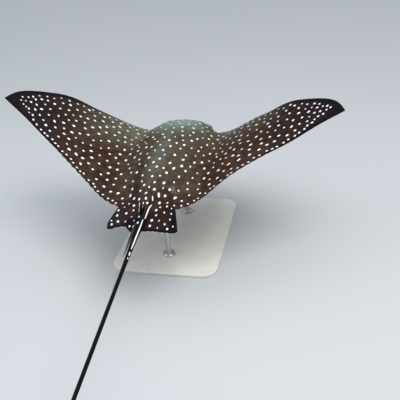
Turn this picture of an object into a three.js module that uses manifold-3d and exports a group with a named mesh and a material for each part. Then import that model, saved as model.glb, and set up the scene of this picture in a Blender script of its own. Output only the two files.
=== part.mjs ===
// A spotted eagle ray, life size, held level on a low display stand.
// Millimetres, +Z up. The ray heads along +Y with its right wing at +X.
// The origin is the centre of the underside of the stand's base.
import * as THREE from 'three';
import { mergeVertices } from 'three/addons/utils/BufferGeometryUtils.js';
import Module from 'manifold-3d';

const wasm = await Module();
wasm.setup();

// ---- Driving dimensions -------------------------------------------------

// Wing tip to wing tip, measured along the wings as if they lay flat.
const DISC_WIDTH = 1500;
// The middle of the wings' thickness at the trunk, above the floor.
const FLIGHT_HEIGHT = 360;
// The snout's tip stands this far ahead of the middle of the stand.
const SNOUT_AHEAD = 495;
// Face to face gap between two pieces that meet.
const GAP = 0.3;

const BASE_SIZE = [440, 600, 14];
const BASE_CORNER = 60;
const BASE_EDGE = 3;
const ROD_RADIUS = 11;
const ROD_AHEAD = 170;
const ROD_IN_BODY = 24;
const FLANGE_RADIUS = 26;
const FLANGE_HEIGHT = 10;

const EYE_RADIUS = 15.5;

const TAIL_LENGTH = 3700;
const TAIL_DROOP = THREE.MathUtils.degToRad(4.55);
const TAIL_SWAY = THREE.MathUtils.degToRad(2.65);
const TAIL_SIDES = 10;

const STING_LENGTH = 172;
const STING_WIDTH = 9;
const STING_THICKNESS = 5;

// ---- Proportions of the animal, in disc widths ---------------------------
// x runs out from the midline, y back from the snout's tip (negative), z up.

// Outline of the head from the snout's tip to where the wing starts.
const HEAD_OUTLINE = [
  [0, 0], [0.028, -0.006], [0.046, -0.022], [0.054, -0.044], [0.059, -0.066],
  [0.069, -0.088], [0.0765, -0.112], [0.083, -0.134], [0.1, -0.15],
];
// Front and rear edge of the wing: distance out, distance back.
const LEADING_EDGE = [
  [0, -0.14], [0.1, -0.15], [0.16, -0.172], [0.24, -0.198], [0.32, -0.226],
  [0.4, -0.261], [0.45, -0.2845], [0.483, -0.304], [0.4935, -0.315],
  [0.4985, -0.3285], [0.5, -0.345],
];
const TRAILING_EDGE = [
  [0, -0.589], [0.075, -0.572], [0.12, -0.549], [0.18, -0.5095], [0.26, -0.461],
  [0.34, -0.416], [0.42, -0.379], [0.47, -0.36], [0.5, -0.345],
];
// The line inside the wing where its front and rear surfaces are joined.
const WING_SPINE = [[0, -0.3], [0.1, -0.315], [0.25, -0.325], [0.4, -0.334], [0.484, -0.3415]];
const REAR_CORNER = 0.12;
// Height of the back and of the belly on the midline: distance back, height.
const BACK = [
  [0, -0.03], [0.035, -0.031], [0.06, -0.016], [0.09, 0.014], [0.12, 0.037], [0.16, 0.053],
  [0.22, 0.062], [0.3, 0.062], [0.38, 0.055], [0.46, 0.044], [0.54, 0.028], [0.6, 0.015],
];
const BELLY = [
  [0, -0.05], [0.04, -0.056], [0.12, -0.056], [0.22, -0.052], [0.3, -0.05],
  [0.38, -0.046], [0.46, -0.037], [0.54, -0.024], [0.6, -0.014],
];
// Height of the edge all round, from the low snout up to the wings.
const RIM = [[0, -0.041], [0.04, -0.038], [0.09, -0.02], [0.135, -0.003], [0.17, 0.006], [0.6, 0.002]];
// Half width of the swelling of head and trunk, and how sharply its sides fall.
const BULK = [
  [0, 0.02], [0.02, 0.045], [0.044, 0.054], [0.066, 0.059], [0.088, 0.069], [0.112, 0.0765],
  [0.134, 0.083], [0.16, 0.099], [0.2, 0.125], [0.26, 0.14], [0.36, 0.138], [0.44, 0.112],
  [0.52, 0.066], [0.57, 0.038], [0.6, 0.026],
];
const BACK_FALL = [[0, 0.5], [0.13, 0.46], [0.2, 0.85], [0.3, 1.25], [0.45, 1.2], [0.6, 0.5]];
const BELLY_FALL = [[0, 0.3], [0.13, 0.35], [0.25, 0.9], [0.45, 0.9], [0.6, 0.5]];
// Half thickness of the rounded rim, and the radius of the snout's rounded front.
const RIM_HALF = [[0, 0.009], [0.07, 0.01], [0.14, 0.005], [0.3, 0.003], [0.4, 0.001], [0.6, 0.001]];
const NOSE_ROUND = [[0, 0.016], [0.03, 0.01], [0.055, 0.001], [0.6, 0.001]];

// How far each wing is raised and how far its rear edge is turned down,
// in degrees, at stations along the wing.
const BEND_STATIONS = [0, 0.06, 0.17, 0.28, 0.39, 0.5];
const WINGS = {
  right: { side: 1, raise: [0, 0, 34.3, 24, 21.6, 15.9], twist: [0, 0, -1, 3, 15.8, 17.7] },
  left: { side: -1, raise: [0, 0, 29.9, 30.7, 27, 27.6], twist: [0, 0, 1.9, 7.1, 18.6, 14.9] },
};
const TWIST_AXIS = -0.36;

// Where the head ends and how wide it is there, and where the wings leave the trunk.
const NECK = -0.163;
const HEAD_HALF = 0.1;
const WING_ROOT = 0.06;
// Where the snout's lobe leaves the head.
const SNOUT_ROOT = -0.052;

// Tail radius: distance back from the snout's tip, radius. The tail leaves the disc at TAIL_ROOT.
const TAIL_ROOT = -0.589;
const TAIL_FRONT = -0.49;
const TAIL_RADIUS = [
  [0.49, 0.023], [0.56, 0.0195], [0.6, 0.0148], [0.64, 0.0104], [0.68, 0.0078], [0.72, 0.0058],
  [0.77, 0.0047], [0.85, 0.0042], [1.0, 0.0041], [1.2, 0.0038], [2.2, 0.0022], [3.06, 0.001],
];
const TAIL_CUTS = [0.7, 1.1, 1.6, 2.25];

const EYE_PLACE = { back: -0.112, height: 0.006, sunk: 0.007 };

// Pelvic fins: the front of the outer edge, and the rear edge from the tail out to the corner.
const PELVIC_ROOT = [0.008, -0.5];
const PELVIC_FINS = {
  right: {
    side: 1, front: [0.056, -0.52], raise: 0.027, curl: 0.012,
    rear: [[0.006, -0.655], [0.03, -0.652], [0.06, -0.655], [0.083, -0.6565], [0.0925, -0.643]],
  },
  left: {
    side: -1, front: [0.056, -0.52], raise: 0, curl: 0,
    rear: [[0.006, -0.657], [0.02, -0.657], [0.037, -0.638], [0.056, -0.6425], [0.074, -0.653], [0.088, -0.634]],
  },
};
// Height of the fin's middle from its root, inside the trunk, to its rear edge.
const PELVIC_HEIGHT = [[0, 0.001], [0.45, 0.0038], [0.7, -0.001], [1, -0.012]];
const PELVIC_CORNER = 0.11;
const PELVIC_HALF = 0.0055;
const FIN_EDGE_HALF = 0.0008;

const DORSAL_FIN = { front: -0.582, rear: -0.622, sweep: 0.012, height: 0.028, half: 0.0032 };
const STING = { front: -0.645, out: -0.0098, up: 0.005, outAtTip: -0.0088, upAtTip: 0.003 };

// ---- Smooth profiles -----------------------------------------------------

// A function through [place, value] pairs that never overshoots them; level beyond both ends.
function profile(pairs) {
  const n = pairs.length;
  const slope = (i) => (pairs[i + 1][1] - pairs[i][1]) / (pairs[i + 1][0] - pairs[i][0]);
  const tangent = (i) => {
    if (i === 0) return slope(0);
    if (i === n - 1) return slope(n - 2);
    const before = slope(i - 1);
    const after = slope(i);
    return before * after > 0 ? (2 * before * after) / (before + after) : 0;
  };
  return (place) => {
    const p = THREE.MathUtils.clamp(place, pairs[0][0], pairs[n - 1][0]);
    let i = 0;
    while (i < n - 2 && p > pairs[i + 1][0]) i += 1;
    const width = pairs[i + 1][0] - pairs[i][0];
    const t = (p - pairs[i][0]) / width;
    const rise = t * t * (3 - 2 * t);
    const fromStart = t * (1 - t) * (1 - t) * width * tangent(i);
    const fromEnd = t * t * (1 - t) * width * tangent(i + 1);
    return pairs[i][1] + rise * (pairs[i + 1][1] - pairs[i][1]) + fromStart - fromEnd;
  };
}

const alongBack = (pairs) => {
  const value = profile(pairs);
  return (y) => value(-y);
};
const leadingEdge = profile(LEADING_EDGE);
const trailingEdge = profile(TRAILING_EDGE);
const back = alongBack(BACK);
const belly = alongBack(BELLY);
const rimHeight = alongBack(RIM);
const bulk = alongBack(BULK);
const backFall = alongBack(BACK_FALL);
const bellyFall = alongBack(BELLY_FALL);
const rimHalf = alongBack(RIM_HALF);
const noseRound = alongBack(NOSE_ROUND);
const tailRadius = alongBack(TAIL_RADIUS);

const planCurve = (points) => new THREE.SplineCurve(points.map(([x, y]) => new THREE.Vector2(x, y)));
const headOutline = planCurve(HEAD_OUTLINE);
const wingSpine = planCurve(WING_SPINE);

// Joins several half thicknesses so that the largest rules and corners stay soft.
const BLEND = 2.4;
const softMax = (...parts) => parts.reduce((sum, h) => sum + h ** BLEND, 0) ** (1 / BLEND);

// Half thickness of the wing's section, rounded in front and thin behind.
function wingHalf(x, y) {
  const front = leadingEdge(x);
  const across = THREE.MathUtils.clamp((front - y) / Math.max(front - trailingEdge(x), 1e-6), 0, 1);
  const thickest = 0.036 * Math.max(1 - x / 0.5, 0) ** 0.8 + 0.004;
  return 0.5 * thickest * 2.6 * Math.sqrt(across) * (1 - across);
}

// A quarter round: 0 at the edge, 1 once `inward` reaches the radius.
function quarterRound(inward, radius) {
  const t = Math.min(inward / radius, 1);
  return Math.sqrt(t * (2 - t));
}

// Top and bottom of the body at a plan point that lies `inward` from the outline,
// a `share` of the way to the midline.
function bodyHeights(x, y, inward, share) {
  const rim = rimHeight(y);
  if (share <= 0) return [rim, rim];
  const wing = wingHalf(x, y);
  const edge = rimHalf(y) * quarterRound(inward, rimHalf(y)) * (1 - share);
  const off = Math.min(x / bulk(y), 1);
  const nose = quarterRound(inward, noseRound(y));
  const swell = (height, fall) => Math.max(height, 0) * nose * (1 - off * off) ** fall;
  return [
    rim + softMax(wing, edge, swell(back(y) - rim, backFall(y))),
    rim - softMax(wing, edge, swell(rim - belly(y), bellyFall(y))),
  ];
}

// ---- Pose ----------------------------------------------------------------

// The wing's own axis bends up station by station while its sections turn.
function wingPose({ side, raise, twist }) {
  const angles = (list) => profile(BEND_STATIONS.map((s, i) => [s, THREE.MathUtils.degToRad(list[i])]));
  const raiseAt = angles(raise);
  const twistAt = angles(twist);
  const STEPS = 200;
  const axis = [[0, 0]];
  for (let i = 1; i <= STEPS; i += 1) {
    const angle = raiseAt(((i - 0.5) / STEPS) * 0.5);
    const step = 0.5 / STEPS;
    axis.push([axis[i - 1][0] + Math.cos(angle) * step, axis[i - 1][1] + Math.sin(angle) * step]);
  }
  return ([x, y, z]) => {
    const place = Math.min(x / 0.5, 1) * STEPS;
    const i = Math.min(Math.floor(place), STEPS - 1);
    const part = place - i;
    const outAt = axis[i][0] + (axis[i + 1][0] - axis[i][0]) * part;
    const upAt = axis[i][1] + (axis[i + 1][1] - axis[i][1]) * part;
    const turn = twistAt(x);
    const lean = raiseAt(x);
    const behind = y - TWIST_AXIS;
    const up = z + Math.sin(turn) * behind;
    return [side * (outAt - up * Math.sin(lean)), TWIST_AXIS + Math.cos(turn) * behind, upAt + up * Math.cos(lean)];
  };
}
const pose = { right: wingPose(WINGS.right), left: wingPose(WINGS.left) };

// From disc widths to millimetres in the stand's frame.
const place = ([x, y, z]) => [x * DISC_WIDTH, y * DISC_WIDTH + SNOUT_AHEAD, z * DISC_WIDTH + FLIGHT_HEIGHT];

// ---- Solids ----------------------------------------------------------------

// A closed solid from triangles given as corner triples; faces are turned outward if need be.
function solidFrom(corners) {
  const geometry = new THREE.BufferGeometry();
  geometry.setAttribute('position', new THREE.Float32BufferAttribute(corners.flat(2), 3));
  return solidOf(geometry);
}

function solidOf(geometry) {
  const bare = new THREE.BufferGeometry();
  const loose = geometry.index ? geometry.toNonIndexed() : geometry;
  bare.setAttribute('position', loose.getAttribute('position'));
  const merged = mergeVertices(bare, 1e-3);
  const index = Array.from(merged.index.array);
  const triVerts = [];
  for (let i = 0; i < index.length; i += 3) {
    const [a, b, c] = index.slice(i, i + 3);
    if (a !== b && b !== c && a !== c) triVerts.push(a, b, c);
  }
  const make = (verts) => new wasm.Manifold(new wasm.Mesh({
    numProp: 3,
    vertProperties: merged.attributes.position.array,
    triVerts: new Uint32Array(verts),
  }));
  const made = make(triVerts);
  return made.volume() > 0 ? made : make(triVerts.reverse());
}

function geometryOf(solid) {
  const mesh = solid.getMesh();
  const positions = [];
  for (let i = 0; i < mesh.vertProperties.length; i += mesh.numProp) {
    positions.push(...mesh.vertProperties.slice(i, i + 3));
  }
  const geometry = new THREE.BufferGeometry();
  geometry.setAttribute('position', new THREE.Float32BufferAttribute(positions, 3));
  geometry.setIndex(Array.from(mesh.triVerts));
  return geometry;
}

function box(low, high) {
  const size = high.map((h, i) => h - low[i]);
  const geometry = new THREE.BoxGeometry(...size);
  geometry.translate(...low.map((l, i) => l + size[i] / 2));
  return solidOf(geometry);
}

const FAR = 6000;
const aheadOf = (y) => box([-FAR, y + GAP / 2, -FAR], [FAR, FAR, FAR]);
const behindOf = (y) => box([-FAR, -FAR, -FAR], [FAR, y - GAP / 2, FAR]);

// Two triangles of a four-cornered patch.
const patch = (a, b, c, d) => [[a, b, c], [a, c, d]];

// Ribs run from the outline of half the body in to its midline or to the wing's spine.
function bodyRibs() {
  const HEAD_RIBS = 12;
  const WING_RIBS = 20;
  const REAR_RIBS = 5;
  const ribs = [];
  const start = WING_SPINE[0];
  const rear = TRAILING_EDGE[0];
  for (let i = 0; i < HEAD_RIBS; i += 1) {
    const t = i / HEAD_RIBS;
    const edge = headOutline.getPointAt(t);
    ribs.push({ edge: [edge.x, edge.y], inner: [0, -0.035 + (start[1] + 0.035) * t] });
  }
  const wingPoint = (t, edgeOf, rootX) => {
    const x = rootX + (0.5 - rootX) * (1 - (1 - t) ** 1.5);
    const inner = wingSpine.getPointAt(t);
    return { edge: [x, edgeOf(x)], inner: [Math.max(inner.x, 0), inner.y] };
  };
  const headEnd = HEAD_OUTLINE.at(-1)[0];
  for (let i = 0; i <= WING_RIBS; i += 1) ribs.push(wingPoint(i / WING_RIBS, leadingEdge, headEnd));
  for (let i = WING_RIBS - 1; i >= 0; i -= 1) ribs.push(wingPoint(i / WING_RIBS, trailingEdge, REAR_CORNER));
  for (let i = 1; i <= REAR_RIBS; i += 1) {
    const t = i / REAR_RIBS;
    const x = REAR_CORNER * (1 - t);
    ribs.push({ edge: [x, trailingEdge(x)], inner: [0, start[1] + (rear[1] + 0.02 - start[1]) * t] });
  }
  return ribs;
}

// The whole body without fins and tail: head, trunk and both wings in one closed solid.
function bodySolid(grow) {
  const ROWS = 8;
  const EDGE_CROWDING = 1.7;
  const triangles = [];
  for (const name of ['right', 'left']) {
    const rows = bodyRibs().map(({ edge, inner }) => {
      const across = [inner[0] - edge[0], inner[1] - edge[1]];
      const length = Math.hypot(...across);
      return Array.from({ length: ROWS + 1 }, (_, j) => {
        const inward = (j / ROWS) ** EDGE_CROWDING;
        const shift = inward - (grow / length) * (1 - inward);
        const x = Math.max(edge[0] + across[0] * shift, 0);
        const y = edge[1] + across[1] * shift;
        const [top, bottom] = bodyHeights(x, y, inward * length, inward);
        const swell = j === 0 ? 0 : grow;
        return [top + swell, bottom - swell].map((z) => place(pose[name]([x, y, z])));
      });
    });
    for (let i = 0; i + 1 < rows.length; i += 1) {
      for (let j = 0; j < ROWS; j += 1) {
        const corner = (level) => [rows[i][j], rows[i + 1][j], rows[i + 1][j + 1], rows[i][j + 1]]
          .map((c) => c[level]);
        const top = name === 'right' ? corner(0) : corner(0).reverse();
        const bottom = name === 'right' ? corner(1).reverse() : corner(1);
        triangles.push(...patch(...top), ...patch(...bottom));
      }
    }
  }
  return solidFrom(triangles);
}

// A thin leaf: surface(a, b) gives its middle, half(a, b) its half thickness, along a given normal.
function leafSolid(surface, half, along, across, normal) {
  const point = (i, j, sign) => {
    const a = i / along;
    const b = (2 * j) / across - 1;
    const onEdge = i === 0 || i === along || j === 0 || j === across;
    const offset = onEdge ? 0 : sign * half(a, b);
    return surface(a, b).map((value, k) => value + normal[k] * offset);
  };
  const triangles = [];
  for (let i = 0; i < along; i += 1) {
    for (let j = 0; j < across; j += 1) {
      const corner = (sign) => [point(i, j, sign), point(i + 1, j, sign), point(i + 1, j + 1, sign),
        point(i, j + 1, sign)].map(place);
      triangles.push(...patch(...corner(1)), ...patch(...corner(-1).reverse()));
    }
  }
  return solidFrom(triangles);
}

function pelvicFin({ side, front, rear, raise, curl }) {
  const rearEdge = planCurve(rear);
  const heightAt = profile(PELVIC_HEIGHT);
  const surface = (a, b) => {
    const t = (b + 1) / 2;
    const start = PELVIC_ROOT.map((v, k) => v + (front[k] - v) * t);
    const end = rearEdge.getPointAt(t);
    const cornerCut = PELVIC_CORNER * (1 - Math.sqrt(1 - Math.max((t - 0.72) / 0.28, 0) ** 2));
    const reach = a * (1 - cornerCut);
    const x = start[0] + (end.x - start[0]) * reach;
    const y = start[1] + (end.y - start[1]) * reach;
    const height = heightAt(a) + x * Math.tan(raise) - curl * Math.max((b - 0.45) / 0.55, 0) ** 2 * a;
    return [side * x, y, height];
  };
  const half = (a, b) => FIN_EDGE_HALF + PELVIC_HALF * (1 - a) * (1 - b * b);
  return leafSolid(surface, half, 10, 14, [0, 0, 1]);
}

// A point of the tail's axis at a distance back from the snout's tip.
function tailAxis(y) {
  const beyond = Math.max(TAIL_ROOT - y, 0);
  return [Math.sin(TAIL_SWAY) * beyond, y, 0.004 - Math.sin(TAIL_DROOP) * beyond];
}

// A round bar that tapers along the tail's axis between two distances back.
function tailSolid(front, rear, grow) {
  const STATIONS = 7;
  const ring = (y) => {
    const [cx, cy, cz] = tailAxis(y);
    const radius = tailRadius(y) + grow;
    return Array.from({ length: TAIL_SIDES }, (_, k) => {
      const angle = (2 * Math.PI * k) / TAIL_SIDES;
      return place([cx + radius * Math.cos(angle), cy, cz + radius * Math.sin(angle)]);
    });
  };
  const rings = Array.from({ length: STATIONS }, (_, i) => ring(front + ((rear - front) * i) / (STATIONS - 1)));
  const triangles = [];
  for (let i = 0; i + 1 < STATIONS; i += 1) {
    for (let k = 0; k < TAIL_SIDES; k += 1) {
      const next = (k + 1) % TAIL_SIDES;
      triangles.push(...patch(rings[i][k], rings[i][next], rings[i + 1][next], rings[i + 1][k]));
    }
  }
  for (let k = 1; k + 1 < TAIL_SIDES; k += 1) {
    triangles.push([rings[0][0], rings[0][k + 1], rings[0][k]]);
    triangles.push([rings.at(-1)[0], rings.at(-1)[k], rings.at(-1)[k + 1]]);
  }
  return solidFrom(triangles);
}

function dorsalFin() {
  const { front, rear, sweep, height, half } = DORSAL_FIN;
  const surface = (a, b) => {
    const up = (b + 1) / 2;
    const y = front + (rear - front) * a - sweep * up;
    const crown = Math.sqrt(Math.max(1 - (1 - a) ** 3, 0));
    return [tailAxis(y)[0], y, tailAxis(y)[2] + up * (height + 0.012) * (0.25 + 0.75 * crown)];
  };
  const thickness = (a, b) => FIN_EDGE_HALF + half * (1 - b) * 0.5;
  return leafSolid(surface, thickness, 8, 6, [1, 0, 0]);
}

// A flattened spine that lies back along the tail, with its edges toothed toward the root.
function stingSolid() {
  const { front, out, up, outAtTip, upAtTip } = STING;
  const length = STING_LENGTH / DISC_WIDTH;
  const surface = (a, b) => {
    const y = front - length * a;
    const [cx, , cz] = tailAxis(y);
    const width = (STING_WIDTH / DISC_WIDTH / 2) * (1 - a ** 3) + 0.0003;
    return [cx + out + (outAtTip - out) * a + b * width, y, cz + up + (upAtTip - up) * a];
  };
  const half = (a) => (STING_THICKNESS / DISC_WIDTH / 2) * (1 - 0.7 * a);
  return leafSolid(surface, half, 12, 4, [0, 0, 1]);
}

// Where the side of the head stands at a given distance back and height.
function flankAt(y, height) {
  let low = 0;
  let high = bulk(y);
  for (let i = 0; i < 30; i += 1) {
    const middle = (low + high) / 2;
    if (bodyHeights(middle, y, bulk(y) - middle, 1)[0] > height) low = middle;
    else high = middle;
  }
  return low;
}

function eyeball(side, radius) {
  const { back: y, height, sunk } = EYE_PLACE;
  const ball = new THREE.SphereGeometry(radius, 16, 10);
  ball.rotateY(Math.PI / 2);
  ball.translate(...place([side * (flankAt(y, height) - sunk), y, height]));
  return solidOf(ball);
}

function standBase() {
  const [width, length, thickness] = BASE_SIZE;
  const shape = new THREE.Shape();
  const [x, y, r] = [width / 2 - BASE_EDGE, length / 2 - BASE_EDGE, BASE_CORNER];
  shape.absarc(x - r, y - r, r, 0, Math.PI / 2);
  shape.absarc(-x + r, y - r, r, Math.PI / 2, Math.PI);
  shape.absarc(-x + r, -y + r, r, Math.PI, Math.PI * 1.5);
  shape.absarc(x - r, -y + r, r, Math.PI * 1.5, Math.PI * 2);
  const plate = new THREE.ExtrudeGeometry(shape, {
    depth: thickness - 2 * BASE_EDGE,
    bevelThickness: BASE_EDGE,
    bevelSize: BASE_EDGE,
    bevelSegments: 1,
    curveSegments: 6,
  });
  plate.translate(0, 0, BASE_EDGE);
  return solidOf(plate);
}

// A rod with a flange at its foot; its top is let into the belly.
function standRod(y, top) {
  const foot = BASE_SIZE[2] + GAP;
  const profilePoints = [
    [0, foot], [FLANGE_RADIUS, foot], [FLANGE_RADIUS, foot + FLANGE_HEIGHT * 0.6],
    [FLANGE_RADIUS * 0.8, foot + FLANGE_HEIGHT], [ROD_RADIUS, foot + FLANGE_HEIGHT],
    [ROD_RADIUS, top - 2], [ROD_RADIUS - 2, top], [0, top],
  ].map(([r, z]) => new THREE.Vector2(r, z));
  const rod = new THREE.LatheGeometry(profilePoints, 20);
  rod.rotateX(Math.PI / 2);
  rod.translate(0, y, 0);
  return solidOf(rod);
}

function rodSocket(y, top) {
  const socket = new THREE.CylinderGeometry(ROD_RADIUS + GAP, ROD_RADIUS + GAP, 2 * ROD_IN_BODY, 20);
  socket.rotateX(Math.PI / 2);
  socket.translate(0, y, top + GAP - ROD_IN_BODY);
  return solidOf(socket);
}

// ---- Materials ---------------------------------------------------------------

const finish = (color, roughness, metalness) => new THREE.MeshStandardMaterial({ color, roughness, metalness });
const skin = finish(0x3b2620, 0.5, 0);
const darkSkin = finish(0x1b1214, 0.5, 0);
const eyeGloss = finish(0x0b0a0b, 0.12, 0);
const spine = finish(0x2a2620, 0.55, 0);
const plate = finish(0xe4e2dc, 0.45, 0);
const steel = finish(0xb9bcbf, 0.28, 1);

// ---- Assembly ----------------------------------------------------------------

const GROWN = GAP / DISC_WIDTH;
const body = bodySolid(0);
const bodyGrown = bodySolid(GROWN);
const tailRear = TAIL_ROOT - TAIL_LENGTH / DISC_WIDTH;
const tailGrown = tailSolid(TAIL_FRONT, -TAIL_CUTS[0], GROWN).add(tailSolid(-TAIL_CUTS[0], -TAIL_CUTS[1], GROWN));

const [, neckY] = place([0, NECK, 0]);
const [, snoutY] = place([0, SNOUT_ROOT, 0]);
const rootX = WING_ROOT * DISC_WIDTH;
const rods = [ROD_AHEAD, -ROD_AHEAD].map((y) => {
  const bellyAt = bodyHeights(0, (y - SNOUT_AHEAD) / DISC_WIDTH, 1, 1)[1];
  return { y, top: place([0, 0, bellyAt])[2] + ROD_IN_BODY };
});

const eyes = { right: eyeball(1, EYE_RADIUS), left: eyeball(-1, EYE_RADIUS) };
const sockets = eyeball(1, EYE_RADIUS + GAP).add(eyeball(-1, EYE_RADIUS + GAP));
const headX = HEAD_HALF * DISC_WIDTH;
const headSpace = (grow) => box([-headX - grow, neckY - grow, -FAR], [headX + grow, FAR, FAR]);
const front = body.intersect(headSpace(-GAP / 2)).subtract(sockets);
const middle = body.subtract(headSpace(GAP / 2));
const trunk = rods.reduce(
  (solid, { y, top }) => solid.subtract(rodSocket(y, top)),
  middle.intersect(box([-rootX + GAP / 2, -FAR, -FAR], [rootX - GAP / 2, FAR, FAR])),
);

const ray = new THREE.Group();
function add(name, solid, material) {
  const mesh = new THREE.Mesh(geometryOf(solid), material);
  mesh.name = name;
  ray.add(mesh);
}

add('snout', front.intersect(aheadOf(snoutY)), skin);
add('head', front.intersect(behindOf(snoutY)), skin);
add('trunk', trunk, skin);
add('wing_right', middle.intersect(box([rootX + GAP / 2, -FAR, -FAR], [FAR, FAR, FAR])), skin);
add('wing_left', middle.intersect(box([-FAR, -FAR, -FAR], [-rootX - GAP / 2, FAR, FAR])), skin);
add('eye_right', eyes.right, eyeGloss);
add('eye_left', eyes.left, eyeGloss);

for (const name of ['right', 'left']) {
  add(`pelvic_fin_${name}`, pelvicFin(PELVIC_FINS[name]).subtract(bodyGrown).subtract(tailGrown), skin);
}
add('dorsal_fin', dorsalFin().subtract(bodyGrown).subtract(tailGrown), darkSkin);

const cuts = [TAIL_FRONT, ...TAIL_CUTS.map((c) => -c), tailRear];
for (let i = 0; i + 1 < cuts.length; i += 1) {
  const rearGap = i + 2 < cuts.length ? GROWN : 0;
  const length = tailSolid(cuts[i], cuts[i + 1] + rearGap, 0);
  add(`tail_${i + 1}`, i === 0 ? length.subtract(bodyGrown) : length, darkSkin);
}
add('sting', stingSolid().subtract(tailGrown), spine);

add('stand_base', standBase(), plate);
rods.forEach(({ y, top }, i) => add(i === 0 ? 'stand_rod_front' : 'stand_rod_rear', standRod(y, top), steel));

export default ray;
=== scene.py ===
# %% [markdown]
# A spotted eagle ray, life size, gliding above a low display stand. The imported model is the
# fixed frame: it says where the ray, its eyes, its sting and the stand are. Everything made
# here is the finer surface over those plain solids, in metres, in the same place.

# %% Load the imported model
import math

import bmesh
import bpy
import numpy as np
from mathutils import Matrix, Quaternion, Vector
from mathutils.bvhtree import BVHTree
from mathutils.interpolate import poly_3d_calc
from mathutils.kdtree import KDTree


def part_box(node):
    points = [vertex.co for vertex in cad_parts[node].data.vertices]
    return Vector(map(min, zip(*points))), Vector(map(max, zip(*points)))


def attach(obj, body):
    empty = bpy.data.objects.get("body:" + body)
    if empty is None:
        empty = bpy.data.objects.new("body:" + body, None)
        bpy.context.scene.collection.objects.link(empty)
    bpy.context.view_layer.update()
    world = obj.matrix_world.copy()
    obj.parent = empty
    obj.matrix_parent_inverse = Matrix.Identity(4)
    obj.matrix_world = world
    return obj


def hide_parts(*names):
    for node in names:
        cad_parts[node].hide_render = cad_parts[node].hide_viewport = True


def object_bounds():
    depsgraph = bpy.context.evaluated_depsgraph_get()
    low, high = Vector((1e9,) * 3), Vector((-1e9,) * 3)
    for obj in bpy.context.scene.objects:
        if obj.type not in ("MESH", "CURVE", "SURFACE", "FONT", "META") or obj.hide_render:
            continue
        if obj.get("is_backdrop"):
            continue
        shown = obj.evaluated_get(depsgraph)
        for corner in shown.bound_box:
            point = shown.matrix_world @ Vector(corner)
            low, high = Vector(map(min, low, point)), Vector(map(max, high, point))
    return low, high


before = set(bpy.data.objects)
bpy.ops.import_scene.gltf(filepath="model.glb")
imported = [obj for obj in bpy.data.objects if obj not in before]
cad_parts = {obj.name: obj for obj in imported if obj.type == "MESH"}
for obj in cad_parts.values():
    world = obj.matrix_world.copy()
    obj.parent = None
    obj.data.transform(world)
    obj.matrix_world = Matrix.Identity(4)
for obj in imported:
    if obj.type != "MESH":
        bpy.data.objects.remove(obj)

cad_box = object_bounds()
print("packed nodes:", len(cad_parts))

# %% [markdown]
# A ray is described best in disc widths: x runs out from the midline, y back from the snout
# (so it is negative on the body) and z up. One disc width is a metre and a half. Two nodes of
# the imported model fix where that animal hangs: the snout's tip and the height of the eyes.

# %% Where the animal hangs
DISC = 1.5
EYE_HEIGHT = 0.006

snout_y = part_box("snout")[1].y
eye_boxes = {side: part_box("eye_" + side) for side in ("right", "left")}
flight = sum(eye_boxes["right"], Vector()).z / 2 - EYE_HEIGHT * DISC
ORIGIN = np.array([0, snout_y, flight])
print(f"snout at y {snout_y:.3f} m, flight height {flight:.3f} m")


def to_world(points):
    """From disc widths to metres in the stand's frame."""
    return np.asarray(points, float) * DISC + ORIGIN


def to_discs(place):
    """From metres back to disc widths."""
    return (np.asarray(place, float) - ORIGIN) / DISC


# %% [markdown]
# The viewer floats behind the ray, a little to its right and above it, and looks down its
# back. The camera aims at the middle of the disc, is turned until that point falls where it
# should in the square picture, and leans a few degrees, as a hand-held camera does.

# %% The camera
PICTURE = 400
LENS_PIXELS = 600
SENSOR = 36
AIM = (0, -0.3, 0)
AIM_PIXEL = (174, 157.5)
AZIMUTH, ELEVATION, LEAN = math.radians(16.6), math.radians(26.6), math.radians(-5.8)
DISTANCE = 1.695 * DISC

camera = bpy.data.objects.new("camera", bpy.data.cameras.new("camera"))
bpy.context.scene.collection.objects.link(camera)
bpy.context.scene.camera = camera
camera.data.sensor_width = SENSOR
camera.data.lens = SENSOR * LENS_PIXELS / PICTURE

backward = Vector((
    math.sin(AZIMUTH) * math.cos(ELEVATION),
    -math.cos(AZIMUTH) * math.cos(ELEVATION),
    math.sin(ELEVATION),
))
off_axis = Vector((AIM_PIXEL[0] - PICTURE / 2, PICTURE / 2 - AIM_PIXEL[1], -LENS_PIXELS))
level = (-backward).to_track_quat("-Z", "Y")
turned_aside = Vector((0, 0, -1)).rotation_difference(off_axis)
camera.rotation_mode = "QUATERNION"
camera.rotation_quaternion = level @ Quaternion((0, 0, 1), LEAN) @ turned_aside.inverted()
camera.location = Vector(to_world(AIM)) + backward * DISTANCE
print("camera at", [round(v, 2) for v in camera.location])

# %% [markdown]
# The body's shape is a handful of smooth profiles: the outline of head and wings in plan, the
# height of back and belly along the midline, and how wide and how steep the swelling of the
# trunk is at each place. A profile passes through its few points without overshooting them,
# which keeps a thin wing from folding over itself.


# %% Smooth profiles
def smooth_profile(pairs):
    """A function through (place, value) pairs that never overshoots them; level beyond both ends."""
    place, value = np.array(pairs, float).T
    slope = np.diff(value) / np.diff(place)
    same_way = slope[:-1] * slope[1:]
    total = np.where(same_way > 0, slope[:-1] + slope[1:], 1)
    between = np.where(same_way > 0, 2 * same_way / total, 0)
    tangent = np.concatenate([slope[:1], between, slope[-1:]])

    def at(where):
        where = np.clip(where, place[0], place[-1])
        i = np.clip(np.searchsorted(place, where, side="right") - 1, 0, len(place) - 2)
        width = place[i + 1] - place[i]
        t = (where - place[i]) / width
        rise = t * t * (3 - 2 * t)
        ends = t * (1 - t) ** 2 * tangent[i] - t * t * (1 - t) * tangent[i + 1]
        return value[i] + rise * (value[i + 1] - value[i]) + ends * width

    return at


def behind_snout(pairs):
    """A profile along the body, given by distance back from the snout and read by y."""
    value = smooth_profile(pairs)
    return lambda y: value(-y)


STEPS_PER_SPAN = 60


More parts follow.
